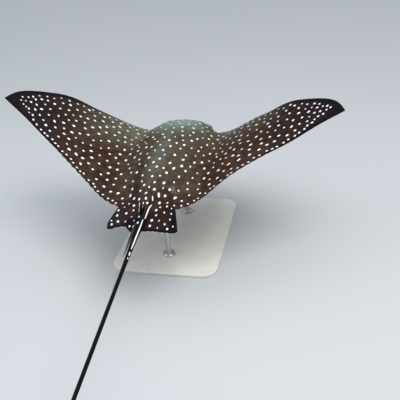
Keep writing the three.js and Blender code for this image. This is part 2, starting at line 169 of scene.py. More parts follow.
def along_curve(points, share):
    """Points on a smooth curve through the given ones, at shares of its length."""
    p = np.array(points, float)
    p = np.vstack([2 * p[0] - p[1], p, 2 * p[-1] - p[-2]])
    t = np.linspace(0, 1, STEPS_PER_SPAN, endpoint=False)[:, None]
    pieces = []
    for a, b, c, d in zip(p, p[1:], p[2:], p[3:]):
        bend = (2 * a - 5 * b + 4 * c - d) * t**2 + (3 * b - a - 3 * c + d) * t**3
        pieces.append((2 * b + (c - a) * t + bend) / 2)
    fine = np.vstack(pieces + [p[-2:-1]])
    run = np.concatenate([[0], np.cumsum(np.linalg.norm(np.diff(fine, axis=0), axis=1))])
    return np.stack([np.interp(np.asarray(share) * run[-1], run, column) for column in fine.T], -1)


def step_up(low, high, value):
    """0 below low, 1 above high, and a smooth rise between them; low may be the larger."""
    t = np.clip((value - low) / (high - low), 0, 1)
    return t * t * (3 - 2 * t)


print("halfway up a smooth step:", step_up(0, 1, 0.5))

# %% [markdown]
# These are the animal's proportions. The outline is given for one side only. The head is a
# broad lobe in front of the eyes, the wings taper to points that lie well behind the shoulders,
# and behind the hips the body narrows to a whip of a tail more than twice as long as the disc
# is wide. The outline could be one long list of points, but as a few short curves each stretch
# can be changed without disturbing the next.

# %% Outline of head, wings and hips
HEAD_OUTLINE = [
    (0, 0), (0.012, -0.0008), (0.028, -0.006), (0.046, -0.022), (0.054, -0.044), (0.059, -0.066),
    (0.069, -0.088), (0.0765, -0.112), (0.083, -0.134), (0.1, -0.15),
]
WING_SPINE = [(0, -0.3), (0.1, -0.315), (0.25, -0.325), (0.4, -0.334), (0.48, -0.338)]
TIP_X = 0.498
REAR_OUTLINE = [
    (0.12, -0.549), (0.096, -0.562), (0.072, -0.5735), (0.05, -0.582), (0.033, -0.59),
    (0.0225, -0.601), (0.0165, -0.615), (0.0127, -0.632), (0.0102, -0.648), (0.0088, -0.662),
]
leading_edge = smooth_profile([
    (0, -0.14), (0.1, -0.15), (0.16, -0.172), (0.24, -0.198), (0.32, -0.226),
    (0.4, -0.261), (0.45, -0.2845), (0.47, -0.298), (0.4825, -0.3115), (0.491, -0.3275),
    (TIP_X, -0.349),
])
trailing_edge = smooth_profile([
    (0, -0.589), (0.075, -0.572), (0.12, -0.549), (0.18, -0.5095), (0.26, -0.461),
    (0.34, -0.416), (0.42, -0.379), (0.47, -0.36), (0.487, -0.3535), (TIP_X, -0.349),
])
print(f"disc {2 * TIP_X * DISC:.2f} m along the wings")

# %% Profiles along the body
back_height = behind_snout([
    (0, -0.03), (0.035, -0.031), (0.06, -0.016), (0.09, 0.014), (0.12, 0.037), (0.16, 0.053),
    (0.22, 0.062), (0.3, 0.062), (0.38, 0.055), (0.46, 0.044), (0.54, 0.028), (0.6, 0.015),
])
belly_height = behind_snout([
    (0, -0.05), (0.04, -0.056), (0.12, -0.056), (0.22, -0.052), (0.3, -0.05),
    (0.38, -0.046), (0.46, -0.037), (0.54, -0.024), (0.6, -0.014),
])
rim_height = behind_snout([
    (0, -0.041), (0.04, -0.038), (0.09, -0.02), (0.135, -0.003), (0.17, 0.006), (0.6, 0.002),
    (0.64, 0.004),
])
bulk = behind_snout([
    (0, 0.02), (0.02, 0.045), (0.044, 0.054), (0.066, 0.059), (0.088, 0.069), (0.112, 0.0765),
    (0.134, 0.083), (0.16, 0.099), (0.2, 0.125), (0.26, 0.14), (0.36, 0.138), (0.44, 0.112),
    (0.52, 0.066), (0.57, 0.038), (0.6, 0.026),
])
back_fall = behind_snout([
    (0, 0.5), (0.13, 0.46), (0.2, 0.85), (0.3, 1.25), (0.45, 1.2), (0.6, 0.5),
])
belly_fall = behind_snout([(0, 0.3), (0.13, 0.35), (0.25, 0.9), (0.45, 0.9), (0.6, 0.5)])
rim_half = behind_snout([(0, 0.009), (0.07, 0.01), (0.14, 0.005), (0.3, 0.003), (0.4, 0.001)])
nose_round = behind_snout([(0, 0.016), (0.03, 0.01), (0.055, 0.001)])
tail_radius = behind_snout([
    (0.49, 0.023), (0.56, 0.0195), (0.6, 0.0148), (0.64, 0.0104), (0.68, 0.0078), (0.72, 0.0058),
    (0.77, 0.0047), (0.85, 0.0042), (1.0, 0.0041), (1.2, 0.0038), (2.2, 0.0022), (3.06, 0.001),
])
TAIL_LENGTH_METRES = 3.7
TAIL_ROOT = -0.589
TAIL_END = TAIL_ROOT - TAIL_LENGTH_METRES / DISC
TAIL_AXIS_HEIGHT = 0.004
print(f"tail {(TAIL_ROOT - TAIL_END) * DISC:.2f} m long")

# %% [markdown]
# Top and bottom of the body are worked out at every plan point. Three thicknesses meet there:
# the wing's own thin section, the rounded rim of the head, and the swelling of head and trunk.
# They are joined by a soft maximum, the way flesh rounds off the corner between two muscles.
# The root of the tail is one more thickness in that sum, so it grows out of the trunk.

# %% Top and bottom of the body
BLEND = 2.4
ROOT_THICKNESS, TIP_THICKNESS = 0.036, 0.004
THINNING = 0.8
HALF_OF_PEAK = 1.3


def soft_max(*heights):
    """The largest height, rounded off where two are alike."""
    return sum(h**BLEND for h in heights) ** (1 / BLEND)


def wing_half(x, y):
    """Half thickness of the wing's section, rounded in front and thin behind."""
    front = leading_edge(x)
    across = np.clip((front - y) / np.maximum(front - trailing_edge(x), 1e-6), 0, 1)
    thickest = ROOT_THICKNESS * np.maximum(1 - x / TIP_X, 0) ** THINNING + TIP_THICKNESS
    return HALF_OF_PEAK * thickest * np.sqrt(across) * (1 - across)


def quarter_round(inward, radius):
    """Height of a quarter circle at a distance in from its foot, as a share of its radius."""
    t = np.minimum(inward / radius, 1)
    return np.sqrt(t * (2 - t))


def body_heights(x, y, inward, share):
    """Top and bottom at plan points that lie `inward` from the outline, a `share` of the way in."""
    rim = rim_height(y)
    off = np.minimum(x / bulk(y), 1)
    trunk_left = step_up(0.62, 0.55, -y) * quarter_round(inward, nose_round(y))
    tail = np.sqrt(np.maximum(tail_radius(y) ** 2 - x**2, 0)) * step_up(0.5, 0.56, -y)
    edge = rim_half(y) * quarter_round(inward, rim_half(y)) * (1 - share)

    def swelling(height, fall):
        return np.maximum(height, 0) * trunk_left * (1 - off * off) ** fall

    flesh = (share > 0).astype(float)
    wing = wing_half(x, y)
    top = rim + flesh * soft_max(wing, edge, tail, swelling(back_height(y) - rim, back_fall(y)))
    bottom = rim - flesh * soft_max(wing, edge, tail, swelling(rim - belly_height(y), belly_fall(y)))
    return top, bottom


shoulder = np.ptp(body_heights(0, -0.22, 1, np.array(1.0))) * DISC
print(f"{shoulder * 1000:.0f} mm thick through the shoulders")

# %% [markdown]
# The surface is a net of ribs. Each rib runs from the outline in to the midline, or to a line
# inside the wing where the ribs of the front edge and of the rear edge meet. The ribs are
# crowded toward the outline, where the section curves most. Two nets, one above and one below,
# share the outline, and their mirror images close the body.

# %% The net of ribs
HEAD_RIBS, WING_RIBS, REAR_RIBS, ROWS = 104, 116, 92, 34
EDGE_CROWDING = 1.7
TIP_CROWDING = 1.5
NECK_X, REAR_X = HEAD_OUTLINE[-1][0], REAR_OUTLINE[0][0]
SPINE_START, LOBE_CENTRE = WING_SPINE[0][1], 0.035
rear_midline = smooth_profile([(0, SPINE_START), (0.55, -0.548), (1, REAR_OUTLINE[-1][1])])


def rib_ends():
    """Outer and inner end of every rib of one half of the body."""
    head = np.arange(HEAD_RIBS) / HEAD_RIBS
    wing = np.arange(WING_RIBS + 1) / WING_RIBS
    rear = np.arange(1, REAR_RIBS + 1) / REAR_RIBS
    inner_wing = along_curve(WING_SPINE, wing)
    reach = 1 - (1 - wing) ** TIP_CROWDING
    front_x = NECK_X + (TIP_X - NECK_X) * reach
    back_x = (REAR_X + (TIP_X - REAR_X) * reach)[-2::-1]
    outer = [
        along_curve(HEAD_OUTLINE, head),
        np.stack([front_x, leading_edge(front_x)], -1),
        np.stack([back_x, trailing_edge(back_x)], -1),
        along_curve(REAR_OUTLINE, rear),
    ]
    inner = [
        np.stack([0 * head, -LOBE_CENTRE + (SPINE_START + LOBE_CENTRE) * head], -1),
        inner_wing,
        inner_wing[-2::-1],
        np.stack([0 * rear, rear_midline(rear)], -1),
    ]
    return np.vstack(outer), np.vstack(inner)


outer, inner = rib_ends()
share = (np.arange(ROWS + 1) / ROWS) ** EDGE_CROWDING
plan = outer[:, None] + (inner - outer)[:, None] * share[None, :, None]
inward = np.linalg.norm(inner - outer, axis=1)[:, None] * share[None]
top, bottom = body_heights(plan[..., 0], plan[..., 1], inward, np.broadcast_to(share, inward.shape))
print(f"{len(outer)} ribs of {ROWS + 1} points on each half")

# %% [markdown]
# The net is closed by welding points that coincide. Each quarter of the body, above and below
# and on either side, is the same grid of points; where two quarters meet, along the outline and
# the midline, their points round to the same place and become one.


# %% Weld the four quarters
def grid_quads(rows, columns):
    """The four corner numbers of every face of a grid of points, and the grid of numbers."""
    corner = np.arange(rows * columns).reshape(rows, columns)
    sides = [corner[:-1, :-1], corner[1:, :-1], corner[1:, 1:], corner[:-1, 1:]]
    return np.stack(sides, -1).reshape(-1, 4), corner


UPPER, LOWER, TAIL = 0, 1, 2
WELD_SCALE = 1e7
points, quads, parts = [], [], []
ribs, rows = inward.shape
quad, corner = grid_quads(ribs, rows)
for side in (1, -1):
    for part, height in ((UPPER, top), (LOWER, bottom)):
        faces_up = (side == 1) != (part == UPPER)
        quads.append((quad if faces_up else quad[:, ::-1]) + len(points) * ribs * rows)
        points.append(np.stack([side * plan[..., 0], plan[..., 1], height], -1).reshape(-1, 3))
        parts.append(np.full(len(quad), part))
points, quads, parts = np.vstack(points), np.vstack(quads), np.concatenate(parts)
depth = np.tile(inward.ravel(), 4)

rounded = np.round(points * WELD_SCALE).astype(np.int64)
_, first, welded = np.unique(rounded, axis=0, return_index=True, return_inverse=True)
welded = welded.reshape(-1)
points, depth, quads = points[first], depth[first], welded[quads]
last_rib = np.unique(welded[np.concatenate([corner[-1] + k * ribs * rows for k in range(4)])])
print(f"{len(rounded)} points welded to {len(points)}")

# %% [markdown]
# Behind the disc the last ribs form a full ring round the tail, and the tail goes on from there
# as a plain tube of rings, crowded near the body where it narrows fastest. The two rings have
# different numbers of points, so a strip of triangles is zipped between them by angle.

# %% Zip on the tail
TAIL_SIDES, TAIL_RINGS = 24, 280
TAIL_GAP = 0.006
RING_CROWDING = 2.4
TAIL_DEPTH = 0.01


def angle_of(ring):
    """Angle of each point round the tail's axis."""
    return np.arctan2(ring[:, 2] - TAIL_AXIS_HEIGHT, ring[:, 0])


def zip_rings(near, near_angle, far, far_angle):
    """Triangles between two rings of points that both run once round by rising angle."""
    near_turn = np.append(near_angle, near_angle[0] + 2 * math.pi)
    far_turn = np.append(far_angle, far_angle[0] + 2 * math.pi)
    i = j = 0
    strip = []
    while i < len(near) or j < len(far):
        a, b = near[i % len(near)], far[j % len(far)]
        if j == len(far) or (i < len(near) and near_turn[i + 1] <= far_turn[j + 1]):
            i += 1
            strip.append((a, near[i % len(near)], b))
        else:
            j += 1
            strip.append((a, far[j % len(far)], b))
    return strip


last_rib = last_rib[np.argsort(angle_of(points[last_rib]))]
tail_start = REAR_OUTLINE[-1][1] - TAIL_GAP
ring_share = (np.arange(TAIL_RINGS) / (TAIL_RINGS - 1)) ** RING_CROWDING
ring_y = tail_start + (TAIL_END - tail_start) * ring_share
turn = -math.pi + 2 * math.pi * np.arange(TAIL_SIDES) / TAIL_SIDES
radius = tail_radius(ring_y)[:, None]
tube = np.stack([
    radius * np.cos(turn),
    np.broadcast_to(ring_y[:, None], (TAIL_RINGS, TAIL_SIDES)),
    TAIL_AXIS_HEIGHT + radius * np.sin(turn),
], -1).reshape(-1, 3)
tube_ids = len(points) + np.arange(TAIL_RINGS * TAIL_SIDES).reshape(TAIL_RINGS, TAIL_SIDES)
next_side = np.roll(tube_ids, -1, axis=1)
tube_quads = np.stack([tube_ids[:-1], next_side[:-1], next_side[1:], tube_ids[1:]], -1).reshape(-1, 4)
seam = zip_rings(last_rib, angle_of(points[last_rib]), tube_ids[0], turn)
points = np.vstack([points, tube])
depth = np.concatenate([depth, np.full(len(tube), TAIL_DEPTH)])
faces = [tuple(dict.fromkeys(f)) for f in quads.tolist() + tube_quads.tolist()]
faces += [tuple(int(v) for v in f) for f in seam] + [tuple(tube_ids[-1].tolist())]
parts = np.concatenate([parts, np.full(len(faces) - len(parts), TAIL)])
keep = [i for i, f in enumerate(faces) if len(f) > 2]
faces, parts = [faces[i] for i in keep], parts[keep]
print(f"{len(points)} points, {len(faces)} faces")

# %% [markdown]
# Eyes, spiracles, mouth and gills are small beside the wings. A finer net everywhere would cost
# far too many faces, so it is split twice more at those places and left alone elsewhere: once in
# a wide patch round each feature, and once again in a closer one, down to faces of less than a
# millimetre.

# %% Where the small features are
EYES = {side: to_discs(sum(eye_boxes[side], Vector()) / 2) for side in eye_boxes}
EYE_RADIUS = (eye_boxes["right"][1].z - eye_boxes["right"][0].z) / 2 / DISC
SPIRACLE_PLAN = np.array([0.0535, -0.147])
WELL_INSIDE = (0.04, 0.5)
spiracle_top = body_heights(*SPIRACLE_PLAN, *np.array(WELL_INSIDE))[0]
SPIRACLE = np.append(SPIRACLE_PLAN, spiracle_top)
GILLS = [(0.0765 - 0.0045 * i, -0.196 - 0.026 * i) for i in range(5)]
MOUTH_Y = -0.0895
print(f"eye radius {EYE_RADIUS * DISC * 1000:.1f} mm, spiracle at height {spiracle_top:.3f}")


# %% A finer mesh round them
REACHES = (1, 0.66)
EYE_PATCH, SPIRACLE_PATCH, MOUTH_PATCH, GILL_PATCH = 0.023, 0.021, 0.02, 0.017
WHOLE_NUMBERS = ("vertex_index", "loop_total")


def mesh_of(name, points, faces, **numbers):
    """A mesh with the given points and faces and one attribute for each further array."""
    mesh = bpy.data.meshes.new(name)
    mesh.from_pydata([tuple(p) for p in points], [], faces)
    for key, values in numbers.items():
        values = np.asarray(values)
        domain = "POINT" if len(values) == len(mesh.vertices) else "FACE"
        kind = "INT" if values.dtype.kind == "i" else "FLOAT_VECTOR" if values.ndim == 2 else "FLOAT"
        field = "vector" if kind == "FLOAT_VECTOR" else "value"
        mesh.attributes.new(key, kind, domain).data.foreach_set(field, values.ravel())
    mesh.update()
    return mesh


def read(items, field, width=1):
    """One field of many Blender items at once, as an array."""
    values = np.zeros(len(items) * width, np.int32 if field in WHOLE_NUMBERS else np.float32)
    items.foreach_get(field, values)
    return values.reshape(-1, width) if width > 1 else values


def near_small_feature(centre, part, reach):
    """Whether a face lies by an eye, spiracle, mouth or gill slit; a reach of 1 is the wide patch."""
    x, y = abs(centre.x), centre.y
    here = np.array([x, y, centre.z])
    if np.linalg.norm(here - EYES["right"]) < EYE_PATCH * reach:
        return True
    if part != LOWER:
        return part == UPPER and np.linalg.norm(here - SPIRACLE) < SPIRACLE_PATCH * reach
    mouth = x < 0.052 and abs(y - MOUTH_Y + 1.1 * x**2) < MOUTH_PATCH * reach - 0.002
    gills = any(math.hypot(x - gx, 2 * (y - gy)) < GILL_PATCH * reach for gx, gy in GILLS)
    return mouth or gills


work = bmesh.new()
work.from_mesh(mesh_of("net", points, faces, depth=depth, part=parts))
part_layer = work.faces.layers.int["part"]
for reach in REACHES:
    close = [f for f in work.faces if near_small_feature(f.calc_center_median(), f[part_layer], reach)]
    edges = list({e for f in close for e in f.edges})
    bmesh.ops.subdivide_edges(work, edges=edges, cuts=1, use_grid_fill=True)
    print(f"{len(close)} faces split within reach {reach}")
fine = bpy.data.meshes.new("fine")
work.to_mesh(fine)
work.free()
flat = read(fine.vertices, "co", 3).astype(float)
normal = read(fine.vertex_normals, "vector", 3)
depth = read(fine.attributes["depth"].data, "value")
print(f"{len(flat)} points now")

# %% [markdown]
# The rest of the form is relief: each feature is a small rise or fall along the surface's own
# normal, a function of the place on the body. They could be sculpted by hand, but formulas of
# the place stay even on both sides and can be changed later. The eye sits in a socket with a
# raised lid, and the spiracle, through which a ray takes in water, is a deep oval pit behind it.
# Where a feature opens into the body, a second number marks it, and the skin's colour turns
# black there: painted shade.


# %% Relief of eyes and spiracles
def bump_at(distance, width):
    """A bell: 1 at distance 0, about a third at one width from it."""
    return np.exp(-((distance / width) ** 2))


x, y, z = np.abs(flat[:, 0]), flat[:, 1], flat[:, 2]
above = z > rim_height(y) + 1e-6
rise = np.zeros(len(flat))
dark = np.zeros(len(flat))
folded = np.stack([x, y, z], -1)

eye = np.linalg.norm(folded - EYES["right"], axis=1)
rise += 0.0022 * bump_at(eye, 0.02)
rise += 0.0019 * bump_at(eye - EYE_RADIUS - 0.0013, 0.002)
rise -= 0.0035 * step_up(EYE_RADIUS - 0.0001, EYE_RADIUS - 0.0016, eye)
rise -= 0.0011 * bump_at(eye - EYE_RADIUS - 0.0056, 0.0024)
# painted shade in the gap round the eye
dark += 0.8 * step_up(EYE_RADIUS + 0.001, EYE_RADIUS - 0.0004, eye)

away = folded - SPIRACLE
along = away @ np.array([0.18, -0.975, -0.12])
across = np.sqrt(np.maximum((away**2).sum(1) - along**2, 0))
oval = np.sqrt((along / 0.013) ** 2 + (across / 0.0064) ** 2)
rise -= above * 0.009 * step_up(1.2, 0.5, oval)
rise += above * 0.0012 * bump_at(oval - 1.5, 0.4)
# painted shade: the spiracle's pit turns black
dark += above * step_up(1.12, 0.8, oval)
print(f"socket and spiracle {rise.min() * DISC * 1000:.1f} mm deep at most")

# %% [markdown]
# A crease across the top parts the snout lobe from the head and runs back along both sides of
# it. Two shallow furrows run down the back, where the trunk's muscle meets the roots of the
# wings, and a fainter one follows the spine.

# %% Relief of snout lobe and back
lobe_side = step_up(0.036, 0.05, -y) * step_up(0.135, 0.115, -y)
rise -= above * 0.0024 * bump_at(depth - 0.0066, 0.0026) * lobe_side
rise -= above * 0.0014 * bump_at(y + 0.0505 + 1.5 * x**2, 0.0032) * step_up(0.052, 0.04, x)
FURROW_BEHIND, FURROW_OUT = (0.2, 0.4, 0.5, 0.56, 0.6), (0.062, 0.058, 0.043, 0.026, 0.021)


def from_furrow(x, y):
    """Distance outward from the furrow between trunk and wing."""
    return x - np.interp(-y, FURROW_BEHIND, FURROW_OUT)


furrow = step_up(0.22, 0.34, -y) * step_up(0.61, 0.57, -y)
rise -= above * 0.0016 * furrow * bump_at(from_furrow(x, y), 0.009)
rise -= above * 0.0007 * furrow * bump_at(x, 0.006)
print(f"furrow {FURROW_OUT[0] * DISC * 1000:.0f} mm from the midline at the shoulders")

# %% [markdown]
# Below the head lie the nostrils, the nasal curtain with its fringed edge, and the mouth: a
# shallow groove bent back at its ends, with a lip behind it.

# %% Relief of nostrils, curtain and mouth
below = ~above
nostril = np.hypot((x - 0.026 + 0.6 * (y + 0.079)) / 0.0062, (y + 0.079) / 0.0032)
rise -= below * 0.0026 * step_up(1.35, 0.2, nostril)
# painted shade in the nostrils
dark += below * 0.9 * step_up(1.0, 0.45, nostril)
fringe = 0.0006 * np.sin(x / 0.0016)
curtain_edge = MOUTH_Y + 0.0022 + 0.0042 * bump_at(x, 0.005) + fringe
curtain = step_up(-0.0012, 0.0014, y - curtain_edge) * step_up(-0.066, -0.078, y)
curtain *= step_up(0.033, 0.028, x)
rise += below * 0.0026 * curtain
mouth_line = y - MOUTH_Y + 2.2 * x**2
mouth = step_up(0.045, 0.041, x)
rise -= below * 0.0028 * mouth * bump_at(mouth_line, 0.0021)
rise += below * 0.0012 * mouth * bump_at(mouth_line + 0.0044, 0.0026)
# painted shade in the mouth's gap
mouth_gap = below * mouth * bump_at(mouth_line, 0.0015)
dark += mouth_gap
print(f"mouth {2 * x[mouth_gap > 0.5].max() * DISC * 1000:.0f} mm wide")

# %% [markdown]
# Five gill slits on each side of the breast are short curved cuts with a raised flap behind, and
# the vent is a narrow slit between the pelvic fins.

# %% Relief of gills and vent
for gill_x, gill_y in GILLS:
    out, back = x - gill_x, y - gill_y
    along = out * 0.97 + back * 0.24
    across = back * 0.97 - out * 0.24 + 12 * along**2
    slit = step_up(0.0098, 0.0076, np.abs(along))
    rise -= below * 0.0022 * slit * bump_at(across, 0.0015)
    rise += below * 0.0011 * slit * bump_at(across - 0.0026, 0.002)
    # painted shade in each gill slit
    dark += below * 0.85 * slit * bump_at(across, 0.0011)
vent = step_up(0.012, 0.009, np.abs(y + 0.556)) * bump_at(x, 0.0013)
rise -= below * 0.002 * vent
# painted shade in the vent
dark += below * 0.7 * vent
dark = np.clip(dark, 0, 1)
print(f"relief from {rise.min() * DISC * 1000:.1f} to {rise.max() * DISC * 1000:.1f} mm")

# %% [markdown]
# The wing's rear edge isn't a clean curve: it ends in low rounded lobes with a nick between
# them, largest near the body. A row of arches along the edge gives that, fading inward within
# a finger's width. Each lobe's length wanders a little, since a row of equal ones would look
# machined.

# %% Lobes along the rear edge
LOBE = 0.0175
rear_edge = (y < -0.34) & (x > 0.03) & (y > -0.592)
wandering = x + 0.0022 * np.sin(41 * x + np.sign(flat[:, 0])) + 0.0016 * np.sin(97 * x)
arch = np.abs(np.sin(math.pi * wandering / LOBE)) - 0.6
size = 0.0042 * step_up(0.38, 0.2, x) * step_up(0.03, 0.05, x) + 0.0004
shaped = flat + normal * rise[:, None]
shaped[:, 1] -= rear_edge * size * arch * step_up(0.014, 0.0, depth)
print(f"lobes up to {size.max() * DISC * 1000:.1f} mm deep, one each {LOBE * DISC * 1000:.0f} mm")

# %% [markdown]
# At rest the wings are flat. The pose bends each one along its own axis, so that its length
# doesn't change, and turns its rear edge down by an angle that grows outward. The right wing
# rises steeply from the body and levels off toward its tip, and the left one climbs evenly all
# the way out. An armature could do the same; two curves of angles are shorter and exact.

# %% The pose
BEND_STATIONS = (0, 0.06, 0.17, 0.28, 0.39, 0.5)
BEND_STEPS = 201
RAISED = {1: (0, 0, 34.3, 24, 21.6, 15.9), -1: (0, 0, 29.9, 30.7, 27, 27.6)}
TURNED = {1: (0, 0, -1, 3, 15.8, 17.7), -1: (0, 0, 1.9, 7.1, 18.6, 14.9)}
TWIST_AXIS = -0.36
TAIL_DROOP, TAIL_SWAY = math.radians(4.55), math.radians(2.65)


def pose_wing(points, side):
    """Points of one wing, given as if it were the right one, raised and turned."""
    raise_at = smooth_profile(list(zip(BEND_STATIONS, np.radians(RAISED[side]))))
    turn_at = smooth_profile(list(zip(BEND_STATIONS, np.radians(TURNED[side]))))
    stations = np.linspace(0, BEND_STATIONS[-1], BEND_STEPS)
    step = stations[1]
    between = raise_at(stations[:-1] + step / 2)
    axis_x = np.concatenate([[0], np.cumsum(np.cos(between) * step)])
    axis_z = np.concatenate([[0], np.cumsum(np.sin(between) * step)])
    x, y, z = points.T
    turn, lean = turn_at(x), raise_at(x)
    behind = y - TWIST_AXIS
    up = z + np.sin(turn) * behind
    return np.stack([
        side * (np.interp(x, stations, axis_x) - up * np.sin(lean)),
        TWIST_AXIS + np.cos(turn) * behind,
        np.interp(x, stations, axis_z) + up * np.cos(lean),
    ], -1)


def pose(points):
    """Rest shape to glide: both wings bent, the tail swung a little aside and down."""
    posed = points.copy()
    for side in (1, -1):
        wing = side * points[:, 0] > 1e-9
        posed[wing] = pose_wing(points[wing] * (side, 1, 1), side)
    beyond = np.maximum(TAIL_ROOT - points[:, 1], 0)
    posed[:, 0] += math.sin(TAIL_SWAY) * beyond
    posed[:, 2] -= math.sin(TAIL_DROOP) * beyond
    return posed


body_places = to_world(pose(shaped))
for axis, name in enumerate("xyz"):
    low, high = body_places[:, axis].min(), body_places[:, axis].max()
    print(f"body {name} {low:.3f} to {high:.3f} m")

# %% [markdown]
# Pelvic fins and dorsal fin are thin leaves with a body of their own: a middle surface, and a
# thickness that falls to the edge. They are joined to the body by a Boolean union, so the skin
# stays one closed sheet and the crease where a fin leaves the body is a real one.

# %% A leaf
FIN_EDGE_HALF = 0.0008
FIN_UP, FIN_DOWN, DORSAL = 3, 4, 5


def leaf(name, middle, half, normal, tags, inset):
    """A closed leaf over a grid of middle points; it tapers to nothing at its four sides."""
    rows, columns = middle.shape[:2]
    offset = half.copy()
    offset[0], offset[-1], offset[:, 0], offset[:, -1] = 0, 0, 0, 0
    lift = offset[..., None] * np.array(normal, float)
    patch, _ = grid_quads(rows, columns)
    both = np.vstack([(middle + lift).reshape(-1, 3), (middle - lift).reshape(-1, 3)])
    quads = np.vstack([patch, patch[:, ::-1] + rows * columns]).tolist()
    part = np.repeat(tags, len(patch)).astype(np.int32)
    both_inset = np.tile(inset.ravel(), 2)
    leaf_mesh = bmesh.new()
    leaf_mesh.from_mesh(mesh_of(name, to_world(both), quads, part=part, depth=both_inset))
    bmesh.ops.remove_doubles(leaf_mesh, verts=leaf_mesh.verts, dist=1e-6)
    if leaf_mesh.calc_volume(signed=True) < 0:
        bmesh.ops.reverse_faces(leaf_mesh, faces=leaf_mesh.faces)
    mesh = bpy.data.meshes.new(name)
    leaf_mesh.to_mesh(mesh)
    leaf_mesh.free()
    print(f"{name}: {len(mesh.polygons)} faces")
    return bpy.data.objects.new(name, mesh)


# %% [markdown]
# The pelvic fins spread flat beside the tail's root. Each runs from a short root line to a
# lobed rear edge with a rounded outer corner, and faint rays lift its surface. The left one has
# a notch in its rear edge.

# %% Pelvic fins
PELVIC_HALF = 0.0055
PELVIC_ROOT = np.array([0.008, -0.5])
PELVIC_FRONT = np.array([0.056, -0.52])
PELVIC_CORNER = 0.11
PELVIC_LOBE, LOBE_DEPTH = 0.0118, 0.0021
RAY_HEIGHT, RAY_RATE = 0.00045, 75
pelvic_height = smooth_profile([(0, 0.001), (0.45, 0.0038), (0.7, -0.001), (1, -0.012)])
PELVIC_REAR = {
    1: [(0.006, -0.655), (0.03, -0.652), (0.06, -0.655), (0.083, -0.6565), (0.0925, -0.643)],
    -1: [
        (0.006, -0.657), (0.02, -0.657), (0.037, -0.638), (0.056, -0.6425), (0.074, -0.653),
        (0.088, -0.634),
    ],
}
PELVIC_RAISE = {1: 0.027, -1: 0.0}
PELVIC_CURL = {1: 0.012, -1: 0.0}


def pelvic_fin(side):
    """The right (1) or left (-1) pelvic fin; b runs outward from the tail."""
    down = np.linspace(0, 1, 36)[:, None]
    b = np.linspace(0, 1, 52)
    front = PELVIC_ROOT + (PELVIC_FRONT - PELVIC_ROOT) * b[:, None]
    rear = along_curve(PELVIC_REAR[side], b)
    corner_cut = PELVIC_CORNER * (1 - np.sqrt(1 - np.maximum((b - 0.72) / 0.28, 0) ** 2))
    plan = front[None] + (rear - front)[None] * (down * (1 - corner_cut))[..., None]
    lobes = np.abs(np.sin(math.pi * plan[..., 0] / PELVIC_LOBE)) - 0.6
    plan[..., 1] -= LOBE_DEPTH * lobes * step_up(0.9, 1, down) * step_up(1, 0.93, b)
    curl = PELVIC_CURL[side] * np.maximum((b - 0.725) / 0.275, 0) ** 2 * down
    height = pelvic_height(down) + plan[..., 0] * math.tan(PELVIC_RAISE[side]) - curl
    rays = RAY_HEIGHT * np.sin(b * RAY_RATE) * step_up(0.2, 0.7, down) * step_up(1, 0.9, down)
    middle = np.stack([side * plan[..., 0], plan[..., 1], height + rays], -1)
    half = FIN_EDGE_HALF + PELVIC_HALF * (1 - down) * (4 * b * (1 - b))
    inset = np.minimum(0.14 * (1 - down), 0.085 * (1 - b))
    half = np.broadcast_to(half, height.shape)
    return leaf(f"pelvic_{side}", middle, half, (0, 0, 1), (FIN_UP, FIN_DOWN), inset)


pelvic_fins = [pelvic_fin(1), pelvic_fin(-1)]

# %% [markdown]
# The dorsal fin is a small low sail on the root of the tail, rounded above and leaning back. It
# follows the tail's droop and sway, because it stands on the tail.

# %% Dorsal fin
DORSAL_FRONT, DORSAL_LENGTH, DORSAL_SWEEP, DORSAL_HEIGHT = -0.582, 0.04, 0.012, 0.028
DORSAL_ROOT, DORSAL_HALF = 0.012, 0.0032


def dorsal_fin():
    """The dorsal fin, from inside the tail up to its crown."""
    back = np.linspace(0, 1, 26)[:, None]
    up = np.linspace(0, 1, 20)
    y = DORSAL_FRONT - DORSAL_LENGTH * back - DORSAL_SWEEP * up
    crown = 0.25 + 0.75 * np.sqrt(np.maximum(1 - (1 - back) ** 3, 0))
    beyond = np.maximum(TAIL_ROOT - y, 0)
    z = TAIL_AXIS_HEIGHT - math.sin(TAIL_DROOP) * beyond
    z = z + up * (DORSAL_HEIGHT + DORSAL_ROOT) * crown
    middle = np.stack([math.sin(TAIL_SWAY) * beyond, y, z], -1)
    half = FIN_EDGE_HALF + DORSAL_HALF * (1 - up) * np.sin(math.pi * np.clip(back, 0.05, 0.95))
    half = np.broadcast_to(half, y.shape)
    return leaf("dorsal", middle, half, (1, 0, 0), (DORSAL, DORSAL), 0.02 + 0 * y)


fins = pelvic_fins + [dorsal_fin()]

# %% Join body and fins
body = bpy.data.objects.new("skin", fine)
fine.vertices.foreach_set("co", body_places.astype(np.float32).ravel())
for key, values in (("rest", flat), ("dark", dark), ("depth", depth)):
    if key not in fine.attributes:
        fine.attributes.new(key, "FLOAT_VECTOR" if values.ndim == 2 else "FLOAT", "POINT")
    field = "vector" if values.ndim == 2 else "value"
    fine.attributes[key].data.foreach_set(field, values.astype(np.float32).ravel())
fine.update()
bpy.context.scene.collection.objects.link(body)
for fin in fins:
    bpy.context.scene.collection.objects.link(fin)
    union = body.modifiers.new("union", "BOOLEAN")
    union.operation, union.solver, union.object = "UNION", "MANIFOLD", fin
evaluated = body.evaluated_get(bpy.context.evaluated_depsgraph_get())
whole = bpy.data.meshes.new_from_object(evaluated)
body.modifiers.clear()
body.data = whole
for fin in fins:
    bpy.data.objects.remove(fin)
print(f"skin: {len(whole.vertices)} points, {len(whole.polygons)} faces")

# %% [markdown]
# Colour is laid out in the rest shape, where the wings are flat, so every point of the skin
# needs its place there. The union keeps that number for the body's own points. Points of the
# fins and of the new creases get theirs from the nearest face of the body, or from the fin.

